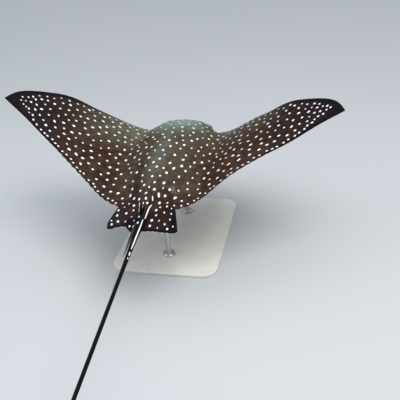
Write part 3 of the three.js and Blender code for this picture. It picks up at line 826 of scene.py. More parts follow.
# %% Rest places of all points
ON_THE_BODY = 0.0004
CREASE_DEPTH = 0.02
places = read(whole.vertices, "co", 3).astype(float)
rest = read(whole.attributes["rest"].data, "vector", 3).astype(float)
depth = read(whole.attributes["depth"].data, "value").astype(float)
part = read(whole.attributes["part"].data, "value")
corner_point = read(whole.loops, "vertex_index")
corners_of = read(whole.polygons, "loop_total")
face_of_corner = np.repeat(np.arange(len(corners_of)), corners_of)
old_faces = [tuple(p.vertices) for p in fine.polygons]
old_body = BVHTree.FromPolygons([tuple(p) for p in body_places], old_faces)
for i in np.flatnonzero(np.abs(rest).sum(1) == 0):
    spot, _, face, distance = old_body.find_nearest(places[i])
    if distance < ON_THE_BODY:
        near = list(old_faces[face])
        share = np.array(poly_3d_calc([Vector(body_places[k]) for k in near], spot))
        rest[i] = share @ flat[near]
        depth[i] = max(depth[i], CREASE_DEPTH)
    else:
        rest[i] = to_discs(places[i])


print(f"{len(places)} rest places")


# %% Numbers kept on the skin
def store(key, domain, values):
    """Keep one number, or three, for every point, face or corner of the skin."""
    kind, field = ("FLOAT_VECTOR", "vector") if values.ndim == 2 else ("FLOAT", "value")
    if key in whole.attributes:
        whole.attributes.remove(whole.attributes[key])
    layer = whole.attributes.new(key, kind, domain)
    layer.data.foreach_set(field, values.astype(np.float32).ravel())


store("rest", "POINT", rest)
corner_rest = rest[corner_point]
counts = np.bincount(face_of_corner)
face_rest = np.stack([np.bincount(face_of_corner, column) / counts for column in corner_rest.T], -1)
face_up = read(whole.polygon_normals, "vector", 3)[:, 2]
top_side = (part == UPPER) | (part == FIN_UP) | ((part == TAIL) & (face_up > 0.1))
print(f"{top_side.sum()} faces on the upper side")

# %% [markdown]
# The white spots lie about evenly, though in no strict rows. They are closer together and
# smaller toward the wing tips, the root of the front edge and the rear edge, and they stretch
# out lengthwise toward the tail. They are found the way a painter would set them: each new
# spot goes where there is still room for its own size, then all are nudged to the middle of
# the room they have. A Voronoi texture would be quicker, but it can't vary the spacing this way
# or stretch each spot along the body.

# %% How close together spots are
SEED = 11
random_numbers = np.random.default_rng(SEED)
BODY_SPACING = 0.0258


def spot_spacing(x, y):
    """Distance from a spot to its neighbours, in disc widths."""
    x = np.abs(x)
    outward = 0.14 * step_up(0.2, 0.34, x) + 0.27 * step_up(0.34, 0.46, x)
    front = step_up(0.05, 0.012, leading_edge(x) - y) * step_up(0.3, 0.16, x) * step_up(0.07, 0.1, x)
    rear = step_up(0.036, 0.01, y - trailing_edge(x)) * step_up(-0.6, -0.56, y)
    trunk = step_up(0.54, 0.58, -y)
    head = step_up(0.19, 0.15, -y) * step_up(0.1, 0.08, x)
    near_edge = np.maximum(0.38 * front, 0.26 * rear)
    return BODY_SPACING * (1 - outward) * (1 - near_edge) * (1 - 0.16 * trunk) * (1 - 0.16 * head)


for place in ((0, -0.35), (0.3, -0.33), (0.46, -0.33)):
    print(f"at {place}: {spot_spacing(*place) * DISC * 1000:.0f} mm apart")


# %% Where no spot lies
def spot_free(places, inset, body):
    """Where no spot may lie: wing tips, outer margins, the snout lobe, eye, spiracle and tail."""
    x, y = np.abs(places[:, 0]), places[:, 1]
    folded = np.stack([x, y, places[:, 2]], -1)
    free = (x > 0.472 - 1.2 * np.abs(y + 0.328)) | (y > -0.058) | (y < -0.66)
    front_margin = 0.009 + 0.012 * x + 0.006 * step_up(0.34, 0.44, x)
    rear_margin = 0.0065 + 0.012 * step_up(0.38, 0.45, x)
    free |= body & (x > 0.09) & (leading_edge(x) - y < front_margin)
    free |= body & (x > 0.06) & (y - trailing_edge(x) < rear_margin)
    free |= (inset < 0.0055) & (y < -0.57)
    free |= np.linalg.norm(folded - EYES["right"], axis=1) < 0.0165
    free |= np.linalg.norm((folded - SPIRACLE) * (1, 0.75, 1), axis=1) < 0.0105
    return free


face_inset = np.bincount(face_of_corner, depth[corner_point]) / counts
blocked = spot_free(face_rest, face_inset, part == UPPER)
print(f"{(blocked & top_side).sum()} of {top_side.sum()} upper faces stay plain")

# %% [markdown]
# A few marks aren't scattered. Streaks run from the hip onto the tail, some spots beside them
# are drawn out long, two flecks lie on the dorsal fin, and two loose rows of larger spots follow
# the spine. The streak on the left flank of the tail's root and the dorsal flecks are partly marks
# and partly a painted glint. Along the wing's rear edge a row of small dots follows the margin.
# Each streak is a line of plan points with half its width. These are set first, and the others
# keep clear.

# %% Marks set one by one
STREAKS = [
    ([(0.0124, -0.556), (0.0151, -0.568)], 0.0014),
    ([(0.0156, -0.577), (0.0122, -0.589), (0.0104, -0.607), (0.0097, -0.628)], 0.0011),
    # partly a mark, partly a painted glint on the left flank of the tail's root
    ([(-0.0185, -0.571), (-0.015, -0.586), (-0.0112, -0.604)], 0.0013),
    ([(-0.0052, -0.578), (-0.0062, -0.592)], 0.0018),
    ([(0.0226, -0.537), (0.0258, -0.549)], 0.0026),
    ([(0.0283, -0.5145), (0.0296, -0.5205)], 0.0022),
    ([(-0.006, -0.5195), (-0.0047, -0.5265)], 0.002),
    (
        [(0.0066, -0.634), (0.0062, -0.655), (0.0052, -0.679), (0.0042, -0.708), (0.0034, -0.735)],
        0.0011,
    ),
    ([(0.0032, -0.745), (0.0034, -0.757)], 0.001),
    ([(0.0032, -0.763), (0.0035, -0.769)], 0.0009),
]
# flecks on the dorsal fin: partly marks, partly a painted glint
DORSAL_FLECKS_AND_GLINT = [
    ([(-0.6, 0.0305), (-0.612, 0.0262)], 0.0014),
    ([(-0.6285, 0.041), (-0.634, 0.033)], 0.0011),
]
SPINE_ROWS = [(0.026, -0.388, 4, 0.004), (-0.0062, -0.371, 4, 0.0036)]
SPINE_PITCH = 0.0375
ROOT_SPOT, ROOT_SPOT_SIZE = (-0.003, -0.606), 0.0026
MARGIN_FROM, MARGIN_TO, MARGIN_PITCH = 0.085, 0.405, 0.0152 * 0.93
MARGIN_INSET, MARGIN_SPOT_SIZE = 0.0098, 0.0027

set_by_hand, hand_radius = [], []
for row_x, row_y, number, size in SPINE_ROWS:
    for i in range(number):
        set_by_hand.append((row_x, row_y - SPINE_PITCH * i))
        hand_radius.append(size)
set_by_hand.append(ROOT_SPOT)
hand_radius.append(ROOT_SPOT_SIZE)
for side in (1, -1):
    edge_x = np.arange(MARGIN_FROM, MARGIN_TO, MARGIN_PITCH)
    edge_x += random_numbers.uniform(-0.0028, 0.0028, len(edge_x))
    wander = random_numbers.uniform(-0.0018, 0.0028, len(edge_x))
    edge_y = trailing_edge(edge_x) + MARGIN_INSET + wander
    set_by_hand += [(side * a, b) for a, b in zip(edge_x, edge_y)]
    hand_radius += [MARGIN_SPOT_SIZE] * len(edge_x)
print(f"{len(set_by_hand)} spots and {len(STREAKS)} streaks set by hand")


# %% Room left for the others
STREAK_GAP, HAND_GAP, SCATTER_GAP = 0.006, 0.76, 0.82


def nearest_index(targets):
    """A function from a place to the number of the nearest target."""
    tree = KDTree(len(targets))
    for i, target in enumerate(targets):
        tree.insert(target, i)
    tree.balance()
    return lambda point: tree.find(point)[1]


top_faces = np.flatnonzero(top_side)
spacing = spot_spacing(face_rest[:, 0], face_rest[:, 1])
for line, half in STREAKS:
    line_points = along_curve(line, np.linspace(0, 1, 12))
    gap = np.linalg.norm(face_rest[:, None, :2] - line_points[None], axis=2).min(1)
    blocked |= gap < half + STREAK_GAP
room = top_side & ~blocked
chosen = []
for x, y in set_by_hand:
    to_face = np.hypot(face_rest[:, 0] - x, face_rest[:, 1] - y)
    chosen.append(face_rest[np.where(top_side, to_face, np.inf).argmin()])
for place in chosen:
    room &= np.linalg.norm(face_rest - place, axis=1) > HAND_GAP * spacing
print(f"{room.sum()} faces with room")

# %% Scatter the spots
ROUNDS = 3
for i in random_numbers.permutation(top_faces):
    if room[i]:
        chosen.append(face_rest[i])
        room &= np.linalg.norm(face_rest - face_rest[i], axis=1) > SCATTER_GAP * spacing[i]
chosen = np.array(chosen)
area = read(whole.polygons, "area")
weight = np.where(blocked, 0, area / spacing**4)[top_faces]
for _ in range(ROUNDS):
    find = nearest_index(chosen)
    owner = np.array([find(p) for p in face_rest[top_faces]])
    total = np.maximum(np.bincount(owner, weight, len(chosen)), 1e-12)
    middle = [np.bincount(owner, weight * c, len(chosen)) / total for c in face_rest[top_faces].T]
    moved = np.stack(middle, -1)
    moved[: len(set_by_hand)] = chosen[: len(set_by_hand)]
    moved = np.where((total > 1e-9)[:, None], moved, chosen)
    on_skin = nearest_index(face_rest[top_faces])
    chosen = np.array([face_rest[top_faces[on_skin(p)]] for p in moved])
print(f"{len(chosen)} spots")

# %% [markdown]
# The scattered spots differ in size by chance as well as by place. Each is an oval, longer along
# the body on the trunk and longer outward on the wings, and near the rear edge it leans with
# that edge.

# %% Size, stretch and tilt of each spot
out, behind = np.abs(chosen[:, 0]), -chosen[:, 1]
chosen_spacing = spot_spacing(chosen[:, 0], chosen[:, 1])
radius = (0.0011 + 0.1 * chosen_spacing) * random_numbers.uniform(0.74, 1.26, len(chosen))
radius *= 0.86 + 0.09 * step_up(0.22, 0.42, behind)
radius[: len(set_by_hand)] = hand_radius
stretch = np.where(chosen[:, 0] < 0, 0.81, 0.87)
stretch = stretch + 0.36 * step_up(0.22, 0.07, out) * step_up(0.2, 0.34, behind)
stretch *= random_numbers.uniform(0.93, 1.1, len(chosen))
near_rear = step_up(0.12, 0.03, chosen[:, 1] - trailing_edge(out)) * step_up(0.06, 0.1, out)
stretch *= 1 - 0.08 * near_rear
tilt = 0.5 * np.sign(chosen[:, 0]) * near_rear + random_numbers.normal(0, 0.2, len(chosen))
on_pelvic = (chosen[:, 1] < trailing_edge(out)) & (out > 0.012)
radius[on_pelvic] *= random_numbers.uniform(0.66, 1.05, on_pelvic.sum())
half_axes = np.stack([radius / stretch, radius * stretch, radius / stretch], -1)
print(f"spot radius {radius.min() * DISC * 1000:.1f} to {radius.max() * DISC * 1000:.1f} mm")

# %% [markdown]
# The shader needs to know how far each point of the skin is from the middle of its spot, counted
# in spot radii: 1 is then the spot's edge, however large the spot is. The offset is kept for
# every corner of every face, and a face belongs to one spot as a whole, so the numbers run
# straight across it. An image of the spots would do the same, but would blur up close.

# %% Offset from each spot's middle
FAR_AWAY = 9
find = nearest_index(chosen)
owner = np.zeros(len(part), int)
owner[top_faces] = [find(p) for p in face_rest[top_faces]]
spot_of_corner = owner[face_of_corner]
offset = corner_rest - chosen[spot_of_corner]
cosine, sine = np.cos(tilt[spot_of_corner]), np.sin(tilt[spot_of_corner])
turned_offset = np.stack([
    cosine * offset[:, 0] + sine * offset[:, 1],
    cosine * offset[:, 1] - sine * offset[:, 0],
    offset[:, 2],
], -1)
from_spot = turned_offset / half_axes[spot_of_corner]
from_spot[~top_side[face_of_corner]] = FAR_AWAY
white_corners = np.linalg.norm(from_spot, axis=1) < 1
print(f"{white_corners.mean():.1%} of the corners lie inside a spot")


# %% Offset from each streak
def from_line(places, line, half):
    """Offset from the nearest point of a drawn line, in half widths of the line."""
    fine_line = along_curve(line, np.linspace(0, 1, 60))
    start, run = fine_line[:-1], np.diff(fine_line, axis=0)
    offset = places[:, None] - start[None]
    along = np.clip((offset * run).sum(2) / (run**2).sum(1), 0, 1)
    offset -= along[..., None] * run[None]
    best = np.linalg.norm(offset, axis=2).argmin(1)
    taper = 0.5 + 0.6 * np.sin(math.pi * (best + 0.5) / len(run)) ** 0.5
    return offset[np.arange(len(places)), best] / (half * taper[:, None])


def draw_streak(line, half, on_faces, plane):
    """Let a streak take over the distance field wherever it lies nearer than the spot."""
    flat_corners = corner_rest[:, plane]
    low, high = np.min(line, axis=0) - 0.02, np.max(line, axis=0) + 0.02
    around = np.all((flat_corners > low) & (flat_corners < high), axis=1) & on_faces[face_of_corner]
    index = np.flatnonzero(around)
    drawn = from_line(flat_corners[index], line, half)
    drawn = np.hstack([drawn, np.zeros((len(index), 1))])
    nearest = []
    for offsets in (drawn, from_spot[index]):
        nearest.append(np.full(len(part), float(FAR_AWAY)))
        np.minimum.at(nearest[-1], face_of_corner[index], np.linalg.norm(offsets, axis=1))
    wins = (nearest[0] < nearest[1])[face_of_corner[index]]
    from_spot[index[wins]] = drawn[wins]


for line, half in STREAKS:
    draw_streak(line, half, top_side, [0, 1])
for line, half in DORSAL_FLECKS_AND_GLINT:
    draw_streak(line, half, part == DORSAL, [1, 2])
store("spot", "CORNER", from_spot)
print(f"{len(STREAKS)} streaks and {len(DORSAL_FLECKS_AND_GLINT)} flecks drawn")

# %% [markdown]
# Colour also changes in broad zones, and these are formulas of the rest place. Painting them by
# hand would work too, but a formula can be read and changed. The first is olive: partly the skin's
# own tone, partly painted sheen over the head, down the spine and along the root of the front
# edge. As painted light it reaches further out on the left wing and is weaker on the right.

# %% Olive tone and painted sheen
x, y = np.abs(rest[:, 0]), rest[:, 1]
front_gap = leading_edge(x) - y
rear_gap = y - trailing_edge(x)
on_wing = step_up(0.08, 0.11, x) * step_up(-0.6, -0.57, y)
# the skin's own tone over the head, with painted sheen
olive_and_sheen = 0.85 * step_up(0.34, 0.17, -y) * step_up(0.17, 0.06, x)
# painted sheen along the root of the front edge
front_edge_sheen = step_up(0.12, 0.012, front_gap) * step_up(0.42, 0.14, x)
olive_and_sheen = np.maximum(olive_and_sheen, 0.8 * front_edge_sheen * on_wing)
# painted light: the left wing is the lit side, so the sheen reaches further out there
left_lit_side = step_up(0.19, 0.06, front_gap) * step_up(0.34, 0.14, x) * (rest[:, 0] < 0)
olive_and_sheen = np.maximum(olive_and_sheen, 0.8 * left_lit_side * on_wing)
olive_and_sheen = np.maximum(olive_and_sheen, 0.2 * step_up(0.15, 0.07, x) * step_up(0.57, 0.46, -y))
# painted sheen down the spine
olive_and_sheen = np.maximum(olive_and_sheen, 0.42 * step_up(0.6, 0.42, -y) * bump_at(rest[:, 0] + 0.012, 0.035))
# painted shade: less sheen on the right of the body
olive_and_sheen *= 1 - 0.3 * step_up(0.0, 0.12, rest[:, 0]) * step_up(0.12, 0.18, -y)
print(f"olive {olive_and_sheen.mean():.2f} on average")

# %% [markdown]
# The second zone is the skin's darker tone toward wing tips, margins, fins and tail, with painted
# shade in the furrows beside the hips, stronger on the left, and on the curled-down outer part of
# the right pelvic fin. Painted shade beside the tail makes the left fin darkest there.

# %% Dark zone and painted shade
fin_face = (part == FIN_UP) | (part == FIN_DOWN)
on_fin, on_dorsal = np.zeros(len(rest)), np.zeros(len(rest))
on_fin[corner_point[fin_face[face_of_corner]]] = 1
on_dorsal[corner_point[(part == DORSAL)[face_of_corner]]] = 1
shade = 0.8 * step_up(0.19, 0.43, x) + 0.2 * step_up(0.43, 0.48, x)
shade += 0.6 * step_up(0.017 + 0.012 * x, 0.003, front_gap) * on_wing * step_up(0.2, 0.32, x)
shade += 0.5 * step_up(0.011, 0.003, rear_gap) * on_wing
shade += 0.3 * step_up(0.05, 0.13, x) * step_up(0.46, 0.6, -y) + 0.3 * step_up(0.55, 0.62, -y)
shade += 0.75 * step_up(0.6, 0.645, -y) * (1 - on_fin) + 0.7 * on_dorsal + 0.38 * on_fin
shade += 0.4 * step_up(0.008, 0.002, depth) * on_fin
# painted shade on the curled-down outer part of the right pelvic fin
shade += 0.35 * step_up(0.066, 0.08, rest[:, 0]) * on_fin
# painted shade on the left pelvic fin beside the tail
shade_beside_tail = step_up(-0.042, -0.028, rest[:, 0]) * step_up(0.61, 0.635, -y)
shade += 0.7 * shade_beside_tail * on_fin * (rest[:, 0] < 0)
# painted shade in the furrows beside the hips, stronger on the left
groove = step_up(0.33, 0.45, -y) * bump_at(from_furrow(x, y) - 0.004, 0.014) * (1 - on_fin)
shade += np.where(rest[:, 0] < 0, 0.5, 0.2) * groove
shade = np.clip(shade, 0, 1)
print(f"shade {shade.mean():.2f} on average")

# %% [markdown]
# The third is a painted highlight: a pale grey-green patch on the crown of the head that fades
# out along the spine as painted sheen.
# There is one pale scuff on the right hip. The white underside stops short of the edge, because
# the dark skin wraps round it: the number "under" marks the lower faces for that.

# %% Painted highlight, scuff and underside
SCUFF_PLACE, SCUFF_SIZE = (0.052, -0.508), 0.0085
# painted highlight on the crown of the head, and painted sheen down the spine
head_middle = np.hypot(rest[:, 0] + 0.015, 0.62 * (y + 0.17))
pale = step_up(0.1, 0.02, head_middle)
pale = np.maximum(pale, 0.35 * step_up(0.6, 0.4, -y) * bump_at(rest[:, 0] + 0.014, 0.022))
store("zones", "POINT", np.stack([olive_and_sheen, shade, pale], -1))
from_scuff = np.hypot(rest[:, 0] - SCUFF_PLACE[0], rest[:, 1] - SCUFF_PLACE[1])
store("scuff", "POINT", bump_at(from_scuff, SCUFF_SIZE) * (rest[:, 2] > 0))
lower_side = (part == LOWER) | (part == FIN_DOWN)
store("under", "FACE", lower_side.astype(float))
store("depth", "POINT", depth)
for polygon in whole.polygons:
    polygon.use_smooth = True
print(f"pale {pale.mean():.2f} on average, {lower_side.sum()} faces on the lower side")

# %% [markdown]
# A colour map needs the skin laid flat. The back fills most of the square at full size, the
# belly is laid below it at half size, and beside that go the pelvic fins, both sides of the
# dorsal fin and the tail, cut open along its underside. The far tail is plain and gets little.
# Blender's own unwrap would need seams marked by hand; here each part has a plain formula.

# %% Tail cut open
NEAR_TAIL_END = -0.8
tail_face = part == TAIL
side_of_face = np.sign(read(whole.polygon_normals, "vector", 3)[:, 0])
around = np.arctan2(corner_rest[:, 0], corner_rest[:, 2] - TAIL_AXIS_HEIGHT)
around_face = np.arctan2(face_rest[:, 0], face_rest[:, 2] - TAIL_AXIS_HEIGHT)[face_of_corner]
around = around_face + (around - around_face + math.pi) % (2 * math.pi) - math.pi
tail_v = 0.3 + 0.05 * around / (2 * math.pi)
print(f"{tail_face.sum()} tail faces, v from {tail_v[tail_face[face_of_corner]].min():.3f}")

# %% The skin laid flat
SHEET = 0.98
DORSAL_U, DORSAL_V = -0.58, 0.205
cx, cy, cz = corner_rest.T
dorsal_u, dorsal_v = SHEET * (DORSAL_U - cy), DORSAL_V + SHEET * cz
far_u = 0.71 + 0.12 * (NEAR_TAIL_END - cy)
layout = {
    "back": (part == UPPER, 0.5 + SHEET * cx, 0.99 + SHEET * cy),
    "belly": (part == LOWER, 0.01 + SHEET / 2 * (cx + 0.5), 0.01 + SHEET / 2 * (cy + 0.662)),
    "fins above": (part == FIN_UP, 0.53 + SHEET * (cx + 0.1), 0.015 + SHEET * (cy + 0.662)),
    "fins below": (part == FIN_DOWN, 0.76 + SHEET * (cx + 0.1), 0.015 + SHEET * (cy + 0.662)),
    "dorsal right": ((part == DORSAL) & (side_of_face > 0), 0.53 + dorsal_u, dorsal_v),
    "dorsal left": ((part == DORSAL) & (side_of_face <= 0), 0.63 + dorsal_u, dorsal_v),
    "near tail": (tail_face & (face_rest[:, 1] > NEAR_TAIL_END), 0.53 + SHEET * (-0.65 - cy), tail_v),
    "far tail": (tail_face & (face_rest[:, 1] <= NEAR_TAIL_END), far_u, tail_v),
}
flat_map = np.zeros((len(cx), 2), np.float32)
for name, (island_faces, u, v) in layout.items():
    on_island = island_faces[face_of_corner]
    island = np.stack([u, v], -1)[on_island]
    flat_map[on_island] = island
    print(f"{name}: from {island.min(0).round(2)} to {island.max(0).round(2)}")
whole.uv_layers.new(name="OFBake").data.foreach_set("uv", flat_map.ravel())

# %% [markdown]
# Shader maths reads best as a formula. A Wire stands for one output of a node; adding,
# subtracting or multiplying wires adds the Math nodes that do it. Colours are mixed by a wire
# that says how much of the second colour there is.


# %% Formulas for shaders
def linear(level):
    """A screen level, 0 to 255, as the linear one that shaders use."""
    return ((level / 255 + 0.055) / 1.055) ** 2.4 if level > 10 else level / 255 / 12.92


def paint(red, green, blue):
    """A screen colour as a linear one, with full opacity."""
    return linear(red), linear(green), linear(blue), 1


class Wire:
    """One output of a node in a material, usable in formulas."""

    def __init__(self, tree, socket=None):
        self.tree = tree
        self.socket = socket

    def node(self, kind, settings=None, inputs=None, output=0):
        """Add any node: first its settings, then a value or a wire for each named socket."""
        made = self.tree.nodes.new(kind)
        for key, value in (settings or {}).items():
            if key == "stops":
                ramp = made.color_ramp.elements
                while len(ramp) < len(value):
                    ramp.new(0.5)
                for stop, (place, colour) in zip(ramp, value):
                    stop.position, stop.color = place, colour
            else:
                setattr(made, key, value)
        for key, value in (inputs or {}).items():
            if isinstance(value, Wire):
                self.tree.links.new(value.socket, made.inputs[key])
            else:
                made.inputs[key].default_value = value
        return Wire(self.tree, made.outputs[output])

    def maths(self, operation, *values):
        """A Math node on wires and numbers."""
        return self.node("ShaderNodeMath", {"operation": operation}, dict(enumerate(values)))

    def __add__(self, other):
        return self.maths("ADD", self, other)

    def __radd__(self, other):
        return self.maths("ADD", other, self)

    def __sub__(self, other):
        return self.maths("SUBTRACT", self, other)

    def __rsub__(self, other):
        return self.maths("SUBTRACT", other, self)

    def __mul__(self, other):
        return self.maths("MULTIPLY", self, other)

    def __rmul__(self, other):
        return self.maths("MULTIPLY", other, self)

    def step(self, low, high):
        """0 at low, 1 at high, smooth between; low may be the larger."""
        rising = {"From Min": min(low, high), "From Max": max(low, high)}
        smooth = {"interpolation_type": "SMOOTHSTEP"}
        step = self.node("ShaderNodeMapRange", smooth, {"Value": self, **rising})
        return step if low < high else 1 - step

    def blend(self, without, full):
        """One colour where this wire is 0 and another where it is 1."""
        settings = {"data_type": "RGBA", "clamp_factor": True}
        return self.node("ShaderNodeMix", settings, {0: self, 6: without, 7: full}, 2)

    def scaled(self, factors):
        """A vector wire with each part multiplied by its own factor."""
        return self.node("ShaderNodeVectorMath", {"operation": "MULTIPLY"}, {0: self, 1: factors})

    def length(self):
        """How long a vector wire is."""
        return self.node("ShaderNodeVectorMath", {"operation": "LENGTH"}, {0: self}, 1)

    def part(self, index):
        """One of a vector wire's three numbers."""
        return self.node("ShaderNodeSeparateXYZ", None, {0: self}, index)

    def noise(self, scale, detail=2, roughness=0.5):
        """Soft noise from about 0 to 1 over the places that this wire gives."""
        inputs = {"Vector": self, "Scale": scale, "Detail": detail, "Roughness": roughness}
        return self.node("ShaderNodeTexNoise", None, inputs)

    def attribute(self, name, output="Fac"):
        """A number, or three, kept on the mesh under a name."""
        return self.node("ShaderNodeAttribute", {"attribute_name": name}, None, output)


def finish(name, varying, **fixed):
    """A material. `varying` takes a Wire and returns what changes over the surface, by socket."""
    material = bpy.data.materials.new(name)
    material.use_nodes = True
    tree = material.node_tree
    shader = tree.nodes["Principled BSDF"]
    for socket, value in fixed.items():
        shader.inputs[socket.replace("_", " ")].default_value = value
    for socket, wire in varying(Wire(tree)).items():
        tree.links.new(wire.socket, shader.inputs[socket])
    print(f"{name}: {len(tree.nodes)} nodes")
    return material


def bump(height, distance, strength=1.0):
    """A normal from a height wire; the distance is the real height of a 0 to 1 step, in metres."""
    inputs = {"Strength": strength, "Distance": distance, "Height": height}
    return height.node("ShaderNodeBump", None, inputs)


print("mid grey is", round(linear(128), 3))

# %% [markdown]
# Ray skin is smooth, without scales, and on a display model it is matt to satin, with only a
# weak reflection. Its brown is mottled at several sizes, the spots are crisp with a slightly
# darker ring, and the underside is milky with a dusky border. The shader reads the zones and
# the offsets from the spots made above, and adds unevenness with noise so that no edge is
# perfect.

# %% Skin
BROWN, WARM_BROWN, DEEP_BROWN = paint(72, 52, 37), paint(44, 24, 20), paint(19, 10, 19)
# The second colour below is the grey-green of the painted highlight on the head.
OLIVE, HIGHLIGHT_GREY_GREEN, NEAR_BLACK = paint(95, 87, 64), paint(122, 146, 140), paint(6, 4, 12)
SPOT_WHITE, BELLY_WHITE, BELLY_GREY = paint(238, 240, 244), paint(226, 221, 212), paint(150, 143, 138)
# The second colour below is the black of the painted shade in pits and openings.
MUCOUS_RED, PIT_SHADE_BLACK = paint(122, 70, 64), paint(14, 11, 12)
SCUFF_PALE = paint(176, 196, 182)


def skin_look(start):
    """Spotted brown back with painted sheen, bordered white belly, painted shade in pits, fine uneven
    surface.
    """
    rest = start.attribute("rest", "Vector")
    zones = start.attribute("zones", "Vector")
    olive_and_sheen, shade, highlight_zone = zones.part(0), zones.part(1), zones.part(2)
    cloud = rest.noise(9, 3)
    mottle = rest.noise(60, 4, 0.6)
    grain = rest.noise(420, 3, 0.6)
    speck = rest.noise(1500, 1)

    brown = (mottle * 0.8 + cloud * 0.5 + grain * 0.6 - 0.43).step(0.34, 0.7)
    colour = brown.blend(WARM_BROWN, BROWN)
    # painted sheen, paling to the grey-green of the painted highlight on the crown
    sheen = (brown * 0.42 + highlight_zone * 0.75).blend(OLIVE, HIGHLIGHT_GREY_GREEN)
    colour = (olive_and_sheen * (0.84 + 0.3 * mottle)).blend(colour, sheen)
    # the skin's darker tone, with painted shade in furrows, on the pelvic fins and beside the tail
    colour = (shade * (0.8 + 0.35 * cloud)).blend(colour, DEEP_BROWN)
    colour = ((shade + cloud * 0.12).step(0.85, 1.25)).blend(colour, NEAR_BLACK)

    ragged = start.attribute("spot", "Vector").length() + (grain - 0.5) * 0.28
    scuffed = start.attribute("scuff") * rest.noise(260, 3, 0.7).step(0.47, 0.62)
    colour = (scuffed * 0.7).blend(colour, SCUFF_PALE)
    ring = ragged.step(1.75, 1.1) * 0.5
    white = ragged.step(1.14, 0.88)
    colour = ring.blend(colour, DEEP_BROWN)
    colour = (white * 0.96).blend(colour, SPOT_WHITE)

    inset = start.attribute("depth") + (mottle - 0.5) * 0.012
    pale = start.attribute("under") * inset.step(0.002, 0.011) * (1 - rest.part(1).step(-0.575, -0.625))
    belly = (mottle * 0.6 + cloud * 0.7).step(0.35, 1.0).blend(BELLY_WHITE, BELLY_GREY)
    border = inset.step(0.034, 0.008)
    belly = (border * 0.75).blend(belly, BELLY_GREY)
    colour = pale.blend(colour, belly)

    # painted shade: pits and openings turn black, with a reddish fringe on the underside
    dark = start.attribute("dark")
    colour = (dark.step(0.05, 0.5) * pale * 0.5).blend(colour, MUCOUS_RED)
    colour = dark.step(0.3, 0.9).blend(colour, PIT_SHADE_BLACK)

    rough = 0.5 + 0.12 * mottle + 0.1 * grain - 0.06 * white
    height = grain * 0.5 + speck * 0.3 + mottle * 0.8 + white * 0.25
    return {"Base Color": colour, "Roughness": rough, "Normal": bump(height, 0.0005, 0.8)}


# %% The finished skin
skin_finish = finish("skin", skin_look, Specular_IOR_Level=0.08)
skin = body
skin.name = "ray_skin"
whole.materials.clear()
whole.materials.append(skin_finish)
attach(skin, "root")
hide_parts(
    "snout", "head", "trunk", "wing_right", "wing_left", "pelvic_fin_right", "pelvic_fin_left",
    "dorsal_fin", "tail_1", "tail_2", "tail_3", "tail_4", "tail_5",
)

# %% [markdown]
# A ray's eye looks sideways. Its pupil is a dark crescent under a lappet of the iris, which is
# brown and gold-flecked. The ball is built as rings round its own axis of sight, so the clear
# bulge in front can rise a little from the ball, and each point keeps its place on the eye.

# %% Pieces of their own
def add_piece(name, points, faces, material, slot, replaced=(), **numbers):
    """A piece in metres on the fixed body, smooth shaded, standing for the named nodes."""
    mesh = mesh_of(name, points, faces, **numbers)
    mesh.polygons.foreach_set("use_smooth", [True] * len(mesh.polygons))
    mesh.materials.append(material)
    piece = bpy.data.objects.new(name, mesh)
    bpy.context.scene.collection.objects.link(piece)
    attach(piece, "root")
    if replaced:
        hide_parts(*replaced)
    return piece


def ring_faces(rings, sectors):
    """Quads between rings of points, with one face closing each end."""
    index = np.arange(rings * sectors).reshape(rings, sectors)
    after = np.roll(index, -1, axis=1)
    faces = np.stack([index[:-1], after[:-1], after[1:], index[1:]], -1).reshape(-1, 4).tolist()
    return faces + [index[0, ::-1].tolist(), index[-1].tolist()]


print("a tube of 3 rings of 8 points has", len(ring_faces(3, 8)), "faces")


# %% How an eye looks
IRIS_BROWN, IRIS_GOLD, IRIS_RIM = paint(52, 34, 20), paint(150, 112, 58), paint(30, 20, 14)
BALL_DARK, PUPIL_BLACK = paint(18, 13, 12), paint(3, 3, 4)


def eye_look(start):
    """Iris flecked with gold, dark toward its rim, and a crescent pupil."""
    gaze = start.attribute("gaze", "Vector")
    ahead, up = gaze.part(0), gaze.part(1)
    across = gaze.scaled((1, 1, 0)).length()
    fleck = gaze.noise(14, 3, 0.7)
    spokes = gaze.scaled((1, 1, 0)).noise(30, 2)
    iris = (fleck * 0.7 + spokes * 0.5).step(0.4, 0.8).blend(IRIS_BROWN, IRIS_GOLD)
    iris = across.step(0.3, 0.62).blend(iris, IRIS_RIM)
    crescent = (ahead * ahead * 4.6 + (up + 0.05) * (up + 0.05) * 22).step(1.15, 0.9)
    lappet = (ahead * ahead * 9 + (up - 0.1) * (up - 0.1) * 40).step(0.8, 1.05)
    pupil = crescent * lappet
    colour = across.step(0.6, 0.7).blend(iris, BALL_DARK)
    colour = pupil.blend(colour, PUPIL_BLACK)
    return {"Base Color": colour, "Roughness": 0.05 + 0.1 * across.step(0.6, 0.75)}


eye_finish = finish(
    "eye", eye_look, Coat_Weight=0.5, Coat_Roughness=0.04, Specular_IOR_Level=0.3,
)

